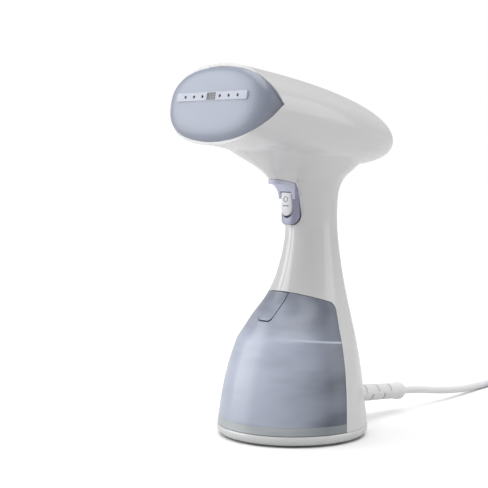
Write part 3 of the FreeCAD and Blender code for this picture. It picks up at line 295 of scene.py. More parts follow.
def cordFinish(s):
    # satin PVC with the fine line that its two cores leave along it
    f = Finish("cordWhite")
    turn = f.parts(f.node("ShaderNodeUVMap", {}))[1] * (4 * math.pi)
    groove = turn.maths("COSINE", turn).power(40.0)
    f.set(Base_Color=f.mix(f.noise(40.0), rgb(s["dark"]), rgb(s["light"])))
    f.set(Roughness=s["rough"] + (f.noise(80.0) - 0.5) * 0.1)
    f.bump(groove, 0.3, 0.0003)
    return f.material


finishes["cordWhite"] = cordFinish(cordPaint)
print("finishes made:", len(finishes))


# small makers; meshes are worked in millimetres

def newObject(bm, name):
    mesh = bpy.data.meshes.new(name)
    bm.to_mesh(mesh)
    bm.free()
    made = bpy.data.objects.new(name, mesh)
    bpy.context.scene.collection.objects.link(made)
    return made


def applied(made):
    # the object with its modifiers worked into the mesh
    bpy.context.view_layer.update()
    graph = bpy.context.evaluated_depsgraph_get()
    mesh = bpy.data.meshes.new_from_object(made.evaluated_get(graph))
    made.modifiers.clear()
    old, made.data = made.data, mesh
    bpy.data.meshes.remove(old)
    return made


def modify(made, kind, **settings):
    modifier = made.modifiers.new(kind.lower(), kind)
    for key, value in settings.items():
        setattr(modifier, key, value)
    return modifier


def easeEdges(made, width, segments=2, angle=50):
    # a small bevel along every edge that turns by more than the angle
    modify(made, "BEVEL", width=width, segments=segments, limit_method="ANGLE", angle_limit=math.radians(angle))
    return applied(made)


def keepBeyond(bm, point, normal):
    # cuts by a plane and drops what lies behind it
    bmesh.ops.bisect_plane(bm, geom=bm.verts[:] + bm.edges[:] + bm.faces[:], plane_co=point, plane_no=normal,
                           clear_inner=True)


def boolean(made, tool, operation="DIFFERENCE"):
    modify(made, "BOOLEAN", object=tool, operation=operation, solver="EXACT")
    applied(made)
    bpy.data.objects.remove(tool)
    return made


def tidyMesh(made, distance=0.02, outward=True):
    bm = bmesh.new()
    bm.from_mesh(made.data)
    bmesh.ops.remove_doubles(bm, verts=bm.verts, dist=distance)
    bmesh.ops.dissolve_degenerate(bm, edges=bm.edges, dist=distance)
    if outward:
        bmesh.ops.recalc_face_normals(bm, faces=bm.faces)
    bm.to_mesh(made.data)
    bm.free()
    return made


def finishPiece(made, body, nodes, finish, sharp=32.0, name=None):
    # into metres, smooth between its edges, in its finish and on its body
    made.data.transform(Matrix.Scale(mm, 4))
    for polygon in made.data.polygons:
        polygon.use_smooth = True
    made.data.set_sharp_from_angle(angle=math.radians(sharp))
    made.data.materials.clear()
    made.data.materials.append(finishes[finish])
    for polygon in made.data.polygons:
        polygon.material_index = 0
    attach(made, body)
    if nodes:
        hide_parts(*nodes)
    return made


def lofted(rings, segments=72, closeStart=True, closeEnd=True):
    # rings are (matrix, half width, half height, squareness); each is a circle pulled into its section
    bm = bmesh.new()
    turn = bm.verts.layers.float.new("turn")
    loop = bmesh.ops.create_circle(bm, segments=segments, radius=1)["verts"]
    for v in loop:
        v[turn] = math.atan2(v.co.y, v.co.x)
    edges = bm.edges[:]
    first = list(edges)
    for number, (matrix, halfA, halfB, power) in enumerate(rings):
        if number:
            geom = bmesh.ops.extrude_edge_only(bm, edges=edges)["geom"]
            loop = [g for g in geom if isinstance(g, bmesh.types.BMVert)]
            fresh = set(loop)
            edges = [g for g in geom if isinstance(g, bmesh.types.BMEdge) and set(g.verts) <= fresh]
        for v in loop:
            c, s = math.cos(v[turn]), math.sin(v[turn])
            a = halfA * math.copysign(abs(c) ** (2 / power), c)
            b = halfB * math.copysign(abs(s) ** (2 / power), s)
            v.co = matrix @ Vector((a, b, 0))
    if closeStart:
        bmesh.ops.contextual_create(bm, geom=first)
    if closeEnd:
        bmesh.ops.contextual_create(bm, geom=edges)
    bmesh.ops.recalc_face_normals(bm, faces=bm.faces)
    return bm


def prism(corners, low, high, toWorld):
    # outline in a plane, extruded along the plane's normal from low to high
    bm = bmesh.new()
    face = bm.faces.new([bm.verts.new((a, b, low)) for a, b in corners])
    grown = bmesh.ops.extrude_face_region(bm, geom=[face])["geom"]
    top = [g for g in grown if isinstance(g, bmesh.types.BMVert)]
    bmesh.ops.translate(bm, verts=top, vec=(0, 0, high - low))
    bmesh.ops.transform(bm, matrix=toWorld, verts=bm.verts)
    bmesh.ops.recalc_face_normals(bm, faces=bm.faces)
    return bm


def cylinderBetween(radius, start, end, segments=32):
    bm = bmesh.new()
    run = Vector(end) - Vector(start)
    place = Matrix.Translation((Vector(start) + Vector(end)) / 2) @ run.to_track_quat("Z", "Y").to_matrix().to_4x4()
    bmesh.ops.create_cone(bm, cap_ends=True, segments=segments, radius1=radius, radius2=radius, depth=run.length,
                          matrix=place)
    return bm


def smoothAt(table, z):
    # Catmull-Rom curve through the rows of a table whose first column is the height
    last = len(table) - 1
    n = max(0, min(last - 1, sum(1 for row in table[1:-1] if row[0] <= z)))
    p0, p1, p2, p3 = (table[max(0, min(last, n + k))] for k in (-1, 0, 1, 2))
    t = (z - p1[0]) / (p2[0] - p1[0])
    row = []
    for a, b, c, d, za, zb, zc, zd in zip(p0, p1, p2, p3, *([p[0]] * 4 for p in (p0, p1, p2, p3))):
        m1 = (c - a) / (zc - za) * (zc - zb) if zc != za else 0
        m2 = (d - b) / (zd - zb) * (zc - zb) if zd != zb else 0
        row.append((2 * t ** 3 - 3 * t ** 2 + 1) * b + (t ** 3 - 2 * t ** 2 + t) * m1
                   + (3 * t ** 2 - 2 * t ** 3) * c + (t ** 3 - t ** 2) * m2)
    return row


# the outer form: stand, grip, neck and head

form = {
    "stand": [(-6, 56.0, 56.0, -0.3), (8, 54.3, 54.3, 0), (32, 51.4, 51.4, 0.8), (52, 47.7, 47.9, 2.2),
              (70, 42.7, 43.6, 4.4)],
    "handle": [(70, 42.7, 43.6, 4.4), (77, 38.9, 41.0, 6.7), (86, 34.7, 37.3, 9.5), (100, 28.1, 30.4, 14.8),
               (118, 22.3, 25.0, 18.1), (145, 17.9, 20.6, 19.6), (165, 18.4, 21.4, 18.3), (176, 19.3, 23.3, 18.1),
               (185, 21.5, 26.4, 19.8), (193, 27, 35.7, 21.7), (203, 36, 50.5, 16.5), (212, 42, 62, 8)],
    "keel": [(178, 8.2, 13.6, -3.6), (180, 8.2, 14, -4), (186.8, 9.4, 16.6, -6.6), (193, 14.5, 20.6, -10),
             (203, 27, 28, -18), (212, 41, 34, -20)],
    "step": 2.5, "voxel": 1.5, "smoothing": 6,
}
headForm = {"front": -74.0, "height": 236.8, "tilt": 9.0, "length": 164.0, "half": 50.5, "gain": 19.0, "rise": 27.2,
            "riseGain": 4.0, "droop": 4.0, "power": 2.6, "flare": 1.0, "flareShare": 0.12, "square": 2.12}

headPlace = (Matrix.Translation((0, headForm["front"], headForm["height"]))
             @ Matrix.Rotation(math.radians(-headForm["tilt"]), 4, "X"))


def across(along, rise=0.0):
    # a section's plane in the head, square to its length
    return headPlace @ Matrix.Translation((0, along, rise)) @ Matrix.Rotation(math.radians(90), 4, "X")


def headRing(s, t):
    dome = math.sqrt(max(0.0, 1 - max(0.0, t) ** s["power"]))
    flare = s["flare"] * max(0.0, 1 - max(0.0, t) / s["flareShare"]) ** 2
    half = (s["half"] + s["gain"] * max(0.0, t)) * dome
    rise = (s["rise"] + s["riseGain"] * max(0.0, t)) * dome + flare
    return across(t * s["length"], -s["droop"] * t * t - flare), half, rise, s["square"]


def headMesh(s):
    steps = 40
    rings = [headRing(s, -0.09)]
    rings += [headRing(s, math.sin(math.pi / 2 * n / steps)) for n in range(steps)]
    return lofted(rings, 96)


def standMesh(s):
    rings = []
    for table in (s["stand"], s["handle"]):
        low, high = table[0][0], table[-1][0]
        count = round((high - low) / s["step"])
        for n in range(count + 1):
            z, halfA, halfB, y = smoothAt(table, low + (high - low) * n / count)
            if not rings or z > rings[-1][0].translation.z + 0.1:
                rings.append((Matrix.Translation((0, y, z)), halfA, halfB, 2))
    return lofted(rings, 96)


def keelMesh(s):
    # the narrow keel over the trigger, which spreads as it runs up into the head
    rings = []
    for n in range(18):
        z, halfA, halfB, y = smoothAt(s["keel"], 178 + 2 * n)
        rings.append((Matrix.Translation((0, y, z)), halfA, halfB, 2.4))
    return lofted(rings, 80)


def outerForm(s):
    # head, stand and keel made one skin, with the creases between them eased
    made = newObject(standMesh(s), "form")
    boolean(made, newObject(keelMesh(s), "keel"), "UNION")
    boolean(made, newObject(headMesh(headForm), "head"), "UNION")
    modify(made, "REMESH", mode="VOXEL", voxel_size=s["voxel"], use_smooth_shade=True)
    modify(made, "SMOOTH", factor=0.5, iterations=s["smoothing"])
    return applied(made)


outer = outerForm(form)
print("outer form:", len(outer.data.polygons), "faces")


def copyOf(made, name):
    twin = bpy.data.objects.new(name, made.data.copy())
    bpy.context.scene.collection.objects.link(twin)
    return twin


# what is cut out of the form

bay = {"low": (0.0, 8.0), "middle": (6.9, 70.0), "high": (13.3, 95.8), "round": 5.0, "slope": 0.33, "front": -90.0,
       "gap": 0.35}
sideways = Matrix(((0, 0, 1, 0), (1, 0, 0, 0), (0, 1, 0, 0), (0, 0, 0, 1)))  # an outline's (a, b) becomes (y, z)
upright = Matrix(((1, 0, 0, 0), (0, 0, 1, 0), (0, 1, 0, 0), (0, 0, 0, 1)))  # an outline's (a, b) becomes (x, z)


def bayPrism(s, shrink, low):
    # the tank's room: bent back, rounded upper corner, slanted roof
    (y0, z0), (y1, z1), (y2, z2) = s["low"], s["middle"], s["high"]
    lean0, lean1 = (y1 - y0) / (z1 - z0), (y2 - y1) / (z2 - z1)
    y0, y1, y2, z2 = y0 - shrink, y1 - shrink, y2 - shrink, z2 - shrink * 1.05
    roof = Vector((-1, s["slope"])).normalized()
    rising = Vector((lean1, 1)).normalized()
    halfAngle = math.acos(rising.dot(-roof)) / 2
    corner = Vector((y2, z2))
    inward = (roof - rising).normalized()
    reach = s["round"] / math.sin(halfAngle)
    middle = corner + inward * reach
    touch = s["round"] / math.tan(halfAngle)
    start, end = corner - rising * touch, corner + roof * touch
    a0 = math.atan2(start.y - middle.y, start.x - middle.x)
    a1 = math.atan2(end.y - middle.y, end.x - middle.x)
    arc = [(middle.x + s["round"] * math.cos(a0 + (a1 - a0) * n / 8),
            middle.y + s["round"] * math.sin(a0 + (a1 - a0) * n / 8)) for n in range(9)]
    corners = [(s["front"], low), (y0 - lean0 * (z0 - low), low), (y1, z1), *arc,
               (s["front"], z2 + s["slope"] * (y2 - s["front"]))]
    return prism(corners, -75, 75, sideways)


notch = {"depth": 14.2, "curve": [(1.0, 0), (0.76, 4.5), (0.5, 10), (0.25, 15), (0.07, 20), (0, 25)]}


def notchPrism(s, shrink=0.0):
    # everything ahead of the casing's front edge, which runs back to a point at each side
    table = [(rise, share) for share, rise in s["curve"]]
    fine = [25 * n / 20 for n in range(21)]
    upper = [(s["depth"] * smoothAt(table, rise)[1] - shrink, rise) for rise in fine]
    lower = [(along, -rise) for along, rise in upper[1:]]
    corners = [*lower[::-1], *upper, (-shrink, 45), (-60, 45), (-60, -45), (-shrink, -45)]
    return prism(corners, -80, 80, headPlace @ sideways)


bezel = {"half": 8.2, "nose": 6.5, "hook": 21.5, "low": 151.2, "high": 184.2, "highBack": 180.2, "curve": 11.2,
         "start": 170.0, "middle": 0.5, "power": 3.0}


def bezelOutline(s, nose, grow):
    # a rounded square front, flat behind, in plan
    count = 24
    corners = []
    for n in range(count + 1):
        angle = math.pi * n / count
        c, d = math.cos(angle), math.sin(angle)
        corners.append(((s["half"] + grow) * math.copysign(abs(c) ** (2 / s["power"]), c),
                        s["middle"] - (nose + grow) * abs(d) ** (2 / s["power"])))
    return corners


casingScrews = [(37, 12.5), (38.2, 95), (33.5, 138), (70, 211), (22, 238.5), (-27, 202)]


def carve(made, bm, remove):
    # cuts bm out of made; with remove, the cut's own faces go too, which leaves an opening
    made.data.materials.clear()
    for mark in ("kept", "cut"):
        made.data.materials.append(bpy.data.materials.get(mark) or bpy.data.materials.new(mark))
    tool = newObject(bm, "tool")
    for mark in ("kept", "cut"):
        tool.data.materials.append(bpy.data.materials[mark])
    for polygon in tool.data.polygons:
        polygon.material_index = 1 if remove else 0
    boolean(made, tool)
    if remove:
        bm = bmesh.new()
        bm.from_mesh(made.data)
        bmesh.ops.delete(bm, geom=[f for f in bm.faces if f.material_index == 1], context="FACES")
        bm.to_mesh(made.data)
        bm.free()


casingSettings = {"wall": 2.2, "seam": 0.12, "edge": 0.35}


def joined(*parts):
    # several bmeshes in one
    whole = bmesh.new()
    for part in parts:
        mesh = bpy.data.meshes.new("part")
        part.to_mesh(mesh)
        part.free()
        whole.from_mesh(mesh)
        bpy.data.meshes.remove(mesh)
    return whole


def arched(half, low, high, front, back):
    # a block with a half-round foot, run along the object's length
    arch = [(half * math.cos(math.pi * n / 20), low + half - half * math.sin(math.pi * n / 20)) for n in range(21)]
    return prism(arch + [(-half, high), (half, high)], front, back, upright)


def bezelBlock(s, nose, grow):
    # the surround's block: rounded in plan, half round at its foot, with a slanted roof
    half, low, high = s["half"] + grow, s["low"] - grow, s["high"] + grow
    made = newObject(prism(bezelOutline(s, nose, grow) + [(-half, 12), (half, 12)], low, high, Matrix()), "block")
    boolean(made, newObject(arched(half, low, 200, -40, 20), "arch"), "INTERSECT")
    top, back = s["high"] + grow, s["highBack"] + grow
    boolean(made, newObject(prism([(-30, top), (-20, top), (0, back), (12, back), (12, 210), (-30, 210)], -20, 20,
                                  sideways), "roof"))
    return made


def meshOf(made):
    bm = bmesh.new()
    bm.from_mesh(made.data)
    bpy.data.objects.remove(made)
    return bm


casingHoles = {"wellRadius": 3.1, "wellFloor": -9.4, "outlet": (21.0, 5.6), "lead": (21.5, 7.2), "round": 0.3,
               "hookFoot": 175, "foot": 8}


def makeCasing(s, holes):
    made = copyOf(outer, "casing")
    wells = [cylinderBetween(holes["wellRadius"], (holes["wellFloor"], y, z), (-75, y, z)) for y, z in casingScrews]
    recess, hook = (meshOf(bezelBlock(bezel, bezel[part], holes["round"])) for part in ("nose", "hook"))
    keepBeyond(hook, (0, 0, holes["hookFoot"]), (0, 0, 1))
    bmesh.ops.holes_fill(hook, edges=hook.edges)
    carve(made, joined(bayPrism(bay, 0.0, -20.0), *wells), False)
    carve(made, hook, False)
    carve(made, recess, False)
    (outletZ, outletRadius), (leadZ, leadRadius) = holes["outlet"], holes["lead"]
    ports = [cylinderBetween(outletRadius, (0, -4, outletZ), (0, 9, outletZ)),
             cylinderBetween(leadRadius, (0, 44, leadZ), (0, 70, leadZ - 2))]
    floor = prism([(-80, -80), (80, -80), (80, 80), (-80, 80)], -20, holes["foot"], Matrix())
    carve(made, joined(notchPrism(notch), floor, *ports), True)
    for name, side in (("bodyShellRight", 1), ("bodyShellLeft", -1)):
        bm = bmesh.new()
        bm.from_mesh(made.data)
        keepBeyond(bm, (side * s["seam"], 0, 0), (side, 0, 0))
        bmesh.ops.remove_doubles(bm, verts=bm.verts, dist=0.06)
        half = newObject(bm, name)
        modify(half, "SOLIDIFY", thickness=s["wall"], offset=-1, use_even_offset=False, use_quality_normals=True)
        applied(half)
        easeEdges(half, s["edge"])
        node = "body_shell_right" if side > 0 else "body_shell_left"
        finishPiece(half, "handset", [node], "casingWhite", 38)
    bpy.data.objects.remove(made)


makeCasing(casingSettings, casingHoles)
print("casing made")


# water tank, its band and its latch

tank = {"gap": 0.35, "split": 14.0, "wall": 2.2, "edge": 0.4, "outlet": (21.0, 6.2), "filler": (58.0, 8.3)}
latch = {"top": 9.0, "low": 6.5, "foot": 84.5, "slant": 1.8, "gap": 0.4, "drop": 0.5, "depth": 3.4, "thick": 2.0,
         "proud": 0.35}


def frontOf(z):
    row = smoothAt(form["handle"] if z > 70 else form["stand"], z)
    return row[3] - row[2]


def latchPrism(s, grow, drop, depth):
    # the tab's outline, wider above, run from in front of the tank to a depth that follows its slope
    top, low, foot = s["top"] + grow, s["low"] + grow, s["foot"] - grow - drop
    corners = [(-top, 112), (-low, foot + s["slant"]), (-low + s["slant"], foot), (low - s["slant"], foot),
               (low, foot + s["slant"]), (top, 112)]
    forwards = Matrix(((1, 0, 0, 0), (0, 0, -1, 0), (0, 1, 0, 0), (0, 0, 0, 1)))
    bm = prism(corners, 0, 60, forwards)
    bmesh.ops.subdivide_edges(bm, edges=[e for e in bm.edges if abs(e.verts[0].co.z - e.verts[1].co.z) > 15], cuts=4)
    for v in bm.verts:
        if v.co.y > -30:
            v.co.y = frontOf(min(v.co.z, 110)) + depth
    bmesh.ops.connect_verts_concave(bm, faces=bm.faces)
    bmesh.ops.triangulate(bm, faces=bm.faces)
    return bm


def makeTank(s):
    made = copyOf(outer, "tankShell")
    boolean(made, newObject(bayPrism(bay, s["gap"], s["split"]), "room"), "INTERSECT")
    boolean(made, newObject(latchPrism(latch, latch["gap"], latch["drop"], latch["depth"]), "pocket"))
    z, radius = s["outlet"]
    fillerZ, fillerRadius = s["filler"]
    lean = bay["middle"][0] / (bay["middle"][1] - bay["low"][1])
    backY = lean * (fillerZ - 8) - s["gap"]
    plugs = [cylinderBetween(radius, (0, -4, z), (0, 6, z)),
             cylinderBetween(fillerRadius, (0, backY - 3.0, fillerZ + 3 * lean), (0, backY + 2, fillerZ - 2 * lean))]
    carve(made, joined(*plugs), False)
    tidyMesh(made, 0.05, False)
    easeEdges(made, s["edge"])
    finishPiece(made, "tank", ["tank_shell"], "tankSmoke", 38)

    band = copyOf(outer, "tankBand")
    boolean(band, newObject(bayPrism(bay, s["gap"], 8 + s["gap"]), "room"), "INTERSECT")
    bm = bmesh.new()
    bm.from_mesh(band.data)
    keepBeyond(bm, (0, 0, s["split"] - 0.05), (0, 0, -1))
    bmesh.ops.holes_fill(bm, edges=[e for e in bm.edges if e.is_boundary])
    bm.to_mesh(band.data)
    bm.free()
    finishPiece(band, "tank", ["tank_base"], "bandSmoke", 38)

    tab = copyOf(outer, "tankLatch")
    boolean(tab, newObject(latchPrism(latch, 0.0, 0.0, latch["thick"]), "tab"), "INTERSECT")
    boolean(tab, newObject(bayPrism(bay, s["gap"] + 0.3, s["split"]), "room"), "INTERSECT")
    tab.data.transform(Matrix.Translation((0, -latch["proud"] * 0.8, latch["proud"] * 0.5)))
    easeEdges(tab, 0.6, 3)
    finishPiece(tab, "latch", ["tank_latch"], "tankSmoke", 38)


makeTank(tank)
print("tank made")


# steam panel, strip and vent

panel = {"sections": [(-3.8, 36, 18.0, 2.6), (-3.0, 40.8, 21.2, 2.55), (-1.6, 44.9, 24.1, 2.5), (1.0, 48.4, 26.2, 2.35),
                      (6, 50.2, 26.3, 2.2), (15, 51.0, 25.5, 2.12), (22, 51.0, 25.0, 2.12)],
         "crown": [(-4.5, 3, 1.5), (-4.46, 14, 7), (-4.33, 24, 12), (-4.1, 31, 15.5)], "drop": -1.0}
strip = {"half": 35.5, "high": 3.0, "rise": 3.6, "front": -4.95, "back": -3.9, "pitch": 8.8, "hole": 1.1, "holes": 3,
         "vent": (4.2, 2.2)}


def steamHoles(t):
    # the rods that drill the face and the strip
    places = [side * t["pitch"] * (n + 1) for side in (-1, 1) for n in range(t["holes"])]
    ends = [[headPlace @ Vector((x, along, t["rise"])) for along in (-8, 6)] for x in places]
    return joined(*[cylinderBetween(t["hole"], *pair) for pair in ends])


def makePanel(s, t):
    rings = [(across(along, s["drop"]), half, rise, 2.7) for along, half, rise in s["crown"]]
    last = s["sections"][-1][0]
    for n in range(28):
        along = s["sections"][0][0] + (last - s["sections"][0][0]) * (n / 27) ** 1.8
        _, half, rise, power = smoothAt(s["sections"], along)
        rings.append((across(along, s["drop"]), half, rise, power))
    made = newObject(lofted(rings, 96), "steamPanel")
    boolean(made, newObject(steamHoles(t), "tool"))
    finishPiece(made, "handset", ["steam_panel"], "panelBlue", 40)


def makeStrip(t):
    # a slim bar with round ends, holes through it
    bm = bmesh.new()
    bmesh.ops.create_cube(bm, size=1)
    bmesh.ops.scale(bm, vec=(2 * t["half"], t["back"] - t["front"], 2 * t["high"]), verts=bm.verts)
    bmesh.ops.translate(bm, vec=(0, (t["back"] + t["front"]) / 2, t["rise"]), verts=bm.verts)
    ends = [e for e in bm.edges if abs(e.verts[0].co.y - e.verts[1].co.y) > 0.5]
    bmesh.ops.bevel(bm, geom=ends, offset=1.6, segments=8, affect="EDGES", profile=0.5, material=-1)
    rim = [e for e in bm.edges if all(v.co.y < t["front"] + 0.01 for v in e.verts)]
    bmesh.ops.bevel(bm, geom=rim, offset=0.3, segments=3, affect="EDGES", profile=0.5, material=-1)
    bmesh.ops.transform(bm, matrix=headPlace, verts=bm.verts)
    made = newObject(bm, "nozzleStrip")
    boolean(made, newObject(steamHoles(t), "tool"))
    boolean(made, newObject(stripBlock(t, t["vent"][0] + 0.25, t["vent"][1] + 0.25, -8, 6), "tool"))
    finishPiece(made, "handset", ["nozzle_strip"], "stripPale", 40)


def stripBlock(t, half, high, front, back, rise=0.0):
    # a square block on the head's face, at the strip's height
    bm = bmesh.new()
    bmesh.ops.create_cube(bm, size=1)
    bmesh.ops.scale(bm, vec=(2 * half, back - front, 2 * high), verts=bm.verts)
    bmesh.ops.translate(bm, vec=(0, (back + front) / 2, t["rise"] + rise), verts=bm.verts)
    bmesh.ops.transform(bm, matrix=headPlace, verts=bm.verts)
    return bm


def makeVent(t):
    # the small grille in the strip's middle: a frame with slats set back in it
    half, high = t["vent"]
    made = newObject(stripBlock(t, half, high, t["front"] - 0.05, t["back"]), "ventGrille")
    for step in (-1, 0, 1):
        boolean(made, newObject(stripBlock(t, half - 0.7, 0.36, t["front"] - 2, t["front"] + 0.6, 1.15 * step), "tool"))
    easeEdges(made, 0.12, 2, 40)
    finishPiece(made, "handset", ["vent_grille"], "ventGrey", 40)


makePanel(panel, strip)
makeStrip(strip)
makeVent(strip)
print("panel made")


# trigger: lavender surround with its hook, and the button

button = {"half": 5.0, "low": 158.0, "high": 174.6, "proud": 1.1, "slack": 0.65}


def gripMesh(grow):
    rows = [(140, 18.1, 20.9, 19.4), (165, 18.4, 21.4, 18.3), (190, 18.8, 22.2, 17.2)]
    rings = [(Matrix.Translation((0, y, z)), a - grow, b - grow, 2) for z, a, b, y in rows]
    return lofted(rings, 64)


def makeBezel(s, b):
    hook = bezelBlock(s, s["hook"], 0.0)
    boolean(hook, newObject(prism([(-20, -40), (20, -40), (20, 20), (-20, 20)], 100, s["start"], Matrix()), "low"))
    middle = s["middle"] - s["nose"] - s["curve"]
    boolean(hook, newObject(cylinderBetween(s["curve"], (-20, middle, s["start"]), (20, middle, s["start"]), 96), "u"))
    lip = [(-40, s["start"] - 1), (middle, s["start"] - 1), (middle, s["start"] + 0.97 * s["curve"]),
           (-40, s["start"] + 0.97 * s["curve"])]
    boolean(hook, newObject(prism(lip, -20, 20, sideways), "lip"))
    made = bezelBlock(s, s["nose"], 0.0)
    made.name = "switchBezel"
    boolean(made, hook, "UNION")
    boolean(made, newObject(gripMesh(0.0), "grip"))
    window = arched(b["half"] + b["slack"], b["low"] - b["slack"] - 1, b["high"] + b["slack"], -30, 20)
    boolean(made, newObject(window, "window"))
    tidyMesh(made, 0.03)
    easeEdges(made, 0.5, 3, 40)
    finishPiece(made, "handset", ["switch_bezel"], "bezelLavender", 35)


def makeButton(s, b):
    made = newObject(prism(bezelOutline(s, s["nose"] + b["proud"], 0) + [(-s["half"], 6.8), (s["half"], 6.8)],
                           b["low"], b["high"], Matrix()), "steamButton")
    boolean(made, newObject(arched(b["half"], b["low"], b["high"], -20, 20), "arch"), "INTERSECT")
    face = s["middle"] - s["nose"] - b["proud"]
    turnUp = Matrix.Translation((0, face, 169.8)) @ Matrix.Rotation(math.radians(90), 4, "X")
    ring = newRing(1.9, 0.3, turnUp)
    ridge = cylinderBetween(0.5, (-2.6, face + 0.1, 165.2), (2.6, face + 0.1, 165.2), 12)
    tidyMesh(made, 0.03)
    easeEdges(made, 0.5, 3, 40)
    finishPiece(made, "button", ["steam_button"], "buttonGrey", 35)
    finishPiece(newObject(joined(ring, ridge), "buttonMarks"), "button", [], "markGrey", 50)


def newRing(radius, wire, matrix):
    # a thin ring, spun from a small circle
    bm = bmesh.new()
    loop = bmesh.ops.create_circle(bm, segments=8, radius=wire,
                                   matrix=Matrix.Translation((radius, 0, 0)) @ Matrix.Rotation(math.pi / 2, 4, "X"))
    bmesh.ops.spin(bm, geom=bm.verts[:] + bm.edges[:], cent=(0, 0, 0), axis=(0, 0, 1), dvec=(0, 0, 0),
                   angle=2 * math.pi, steps=32, use_merge=True, use_duplicate=False)
    bmesh.ops.remove_doubles(bm, verts=bm.verts, dist=0.001)
    bmesh.ops.recalc_face_normals(bm, faces=bm.faces)
    bmesh.ops.transform(bm, matrix=matrix, verts=bm.verts)
    return bm


makeBezel(bezel, button)
makeButton(bezel, button)
print("trigger made")


# foot

foot = {"profile": [(47.5, 5.6), (50.6, 5.4), (50.8, 1.6), (51.2, 1.12), (52.0, 1.35), (53.3, 2.2), (54.2, 3.6),
                    (54.55, 5.2), (54.5, 7.2), (54.2, 7.75), (53.6, 7.95), (40, 8.0), (0.01, 8.0)]}


def spun(profile, matrix=Matrix(), steps=96, closed=False):
    # a profile of (radius, height) pairs turned about its Z
    bm = bmesh.new()
    verts = [bm.verts.new((radius, 0, height)) for radius, height in profile]
    edges = [bm.edges.new(pair) for pair in zip(verts, verts[1:])]
    if closed:
        edges.append(bm.edges.new((verts[-1], verts[0])))
    bmesh.ops.spin(bm, geom=verts + edges, cent=(0, 0, 0), axis=(0, 0, 1), dvec=(0, 0, 0), angle=2 * math.pi,
                   steps=steps, use_merge=True, use_duplicate=False)
    bmesh.ops.remove_doubles(bm, verts=bm.verts, dist=0.02)
    bmesh.ops.recalc_face_normals(bm, faces=bm.faces)
    bmesh.ops.transform(bm, matrix=matrix, verts=bm.verts)
    return bm


def makeFoot(s):
    made = newObject(spun([(0.01, 5.6)] + s["profile"]), "baseTray")
    finishPiece(made, "handset", ["base_tray"], "footWhite", 35)


makeFoot(foot)
print("foot made")


# strain relief, cord and plug

boot = {"height": 21.5, "drop": 4.7, "axisStart": 51.6, "start": 46.0, "end": 121.0, "root": 6.9, "tip": 6.1,
        "bead": 6.9, "slots": 7, "pitch": 7.2, "first": 14.5, "slot": 2.0, "core": 3.9}


def bootPoint(s, y):
    return Vector((0, y, s["height"] - math.tan(math.radians(s["drop"])) * (y - s["axisStart"])))


def makeBoot(s):
    length = (s["end"] - s["start"]) / math.cos(math.radians(s["drop"]))
    profile = [(0.01, 0), (5.4, 0), (5.4, 8.6), (6.6, 8.9), (s["root"], 9.3), (6.55, 30), (6.25, 50),
               (s["tip"], length - 9.5), (6.2, length - 7.6), (s["bead"] - 0.1, length - 6.6),
               (s["bead"], length - 5.4), (s["bead"], length - 2.6), (6.5, length - 1.1), (5.6, length - 0.3),
               (4.6, length), (0.01, length)]
    place = Matrix.Translation(bootPoint(s, s["start"])) @ Matrix.Rotation(math.radians(-90 - s["drop"]), 4, "X")
    made = newObject(spun(profile, place, 64), "cordBoot")
    slots = []
    for n in range(s["slots"]):
        bm = bmesh.new()
        bmesh.ops.create_cube(bm, size=1)
        bmesh.ops.scale(bm, vec=(20, 10, s["slot"]), verts=bm.verts)
        side = 5 if n % 2 else -5
        bmesh.ops.translate(bm, vec=(0, side + (0.6 if n % 2 else -0.6), s["first"] + s["pitch"] * n), verts=bm.verts)
        bmesh.ops.transform(bm, matrix=place, verts=bm.verts)
        slots.append(bm)
    boolean(made, newObject(joined(*slots), "slots"))
    easeEdges(made, 0.25)
    core = spun([(0.01, 1), (s["core"], 1), (s["core"], length - 1), (0.01, length - 1)], place, 40)
    made = newObject(joined(meshOf(made), core), "cordBoot")
    finishPiece(made, "handset", ["cord_boot"], "bootWhite", 35)


makeBoot(boot)

# the lead's route from the strain relief to the coil, then from the coil to the plug, in metres
leadRoute = [(0, 0.121, 0.01579), (0, 0.140, 0.01423), (-0.0015, 0.165, 0.0102), (-0.005, 0.194, 0.0063),
             (-0.010, 0.222, 0.0039), (-0.0155, 0.250, 0.003), (-0.0175, 0.281, 0.003)]
plugRoute = [(0.043, 0.344, 0.0147), (0.062, 0.3445, 0.0105), (0.080, 0.340, 0.0075), (0.088, 0.327, 0.0069),
             (0.0885, 0.310, 0.0069)]
coil = {"x": 0.016, "y": 0.309, "radius": 0.035, "wide": 3, "turns": 7.30, "start": 200.0, "points": 16}
cord = {"diameter": 0.0059, "length": 1.8}


def coilPoints(s, thick):
    # turns wound in, up a layer and out again, each a diameter from the next
    slots = [(2, 0), (1, 0), (0, 0), (0, 1), (1, 1), (2, 1), (2, 2), (1, 2), (0, 2)]
    points = []
    for n in range(round(s["turns"] * s["points"]) + 1):
        done = n / s["points"]
        turn, share = int(done), max(0.0, (done % 1 - 0.5) / 0.5)
        (ring0, layer0), (ring1, layer1) = slots[turn], slots[turn + 1]
        share = share * share * (3 - 2 * share)
        ring = ring0 + (ring1 - ring0) * share - 1
        layer = layer0 + (layer1 - layer0) * share
        angle = math.radians(s["start"]) - 2 * math.pi * done
        reach = s["radius"] + ring * thick * 1.01
        points.append((s["x"] + reach * math.cos(angle), s["y"] + reach * math.sin(angle),
                       thick * (0.51 + 1.0 * layer)))
    return points


plug = {"x": 88.5, "y": 310.0, "length": 34.0, "wide": 17.5, "neck": 5.0, "low": 0.05, "high": 13.75, "round": 2.4}


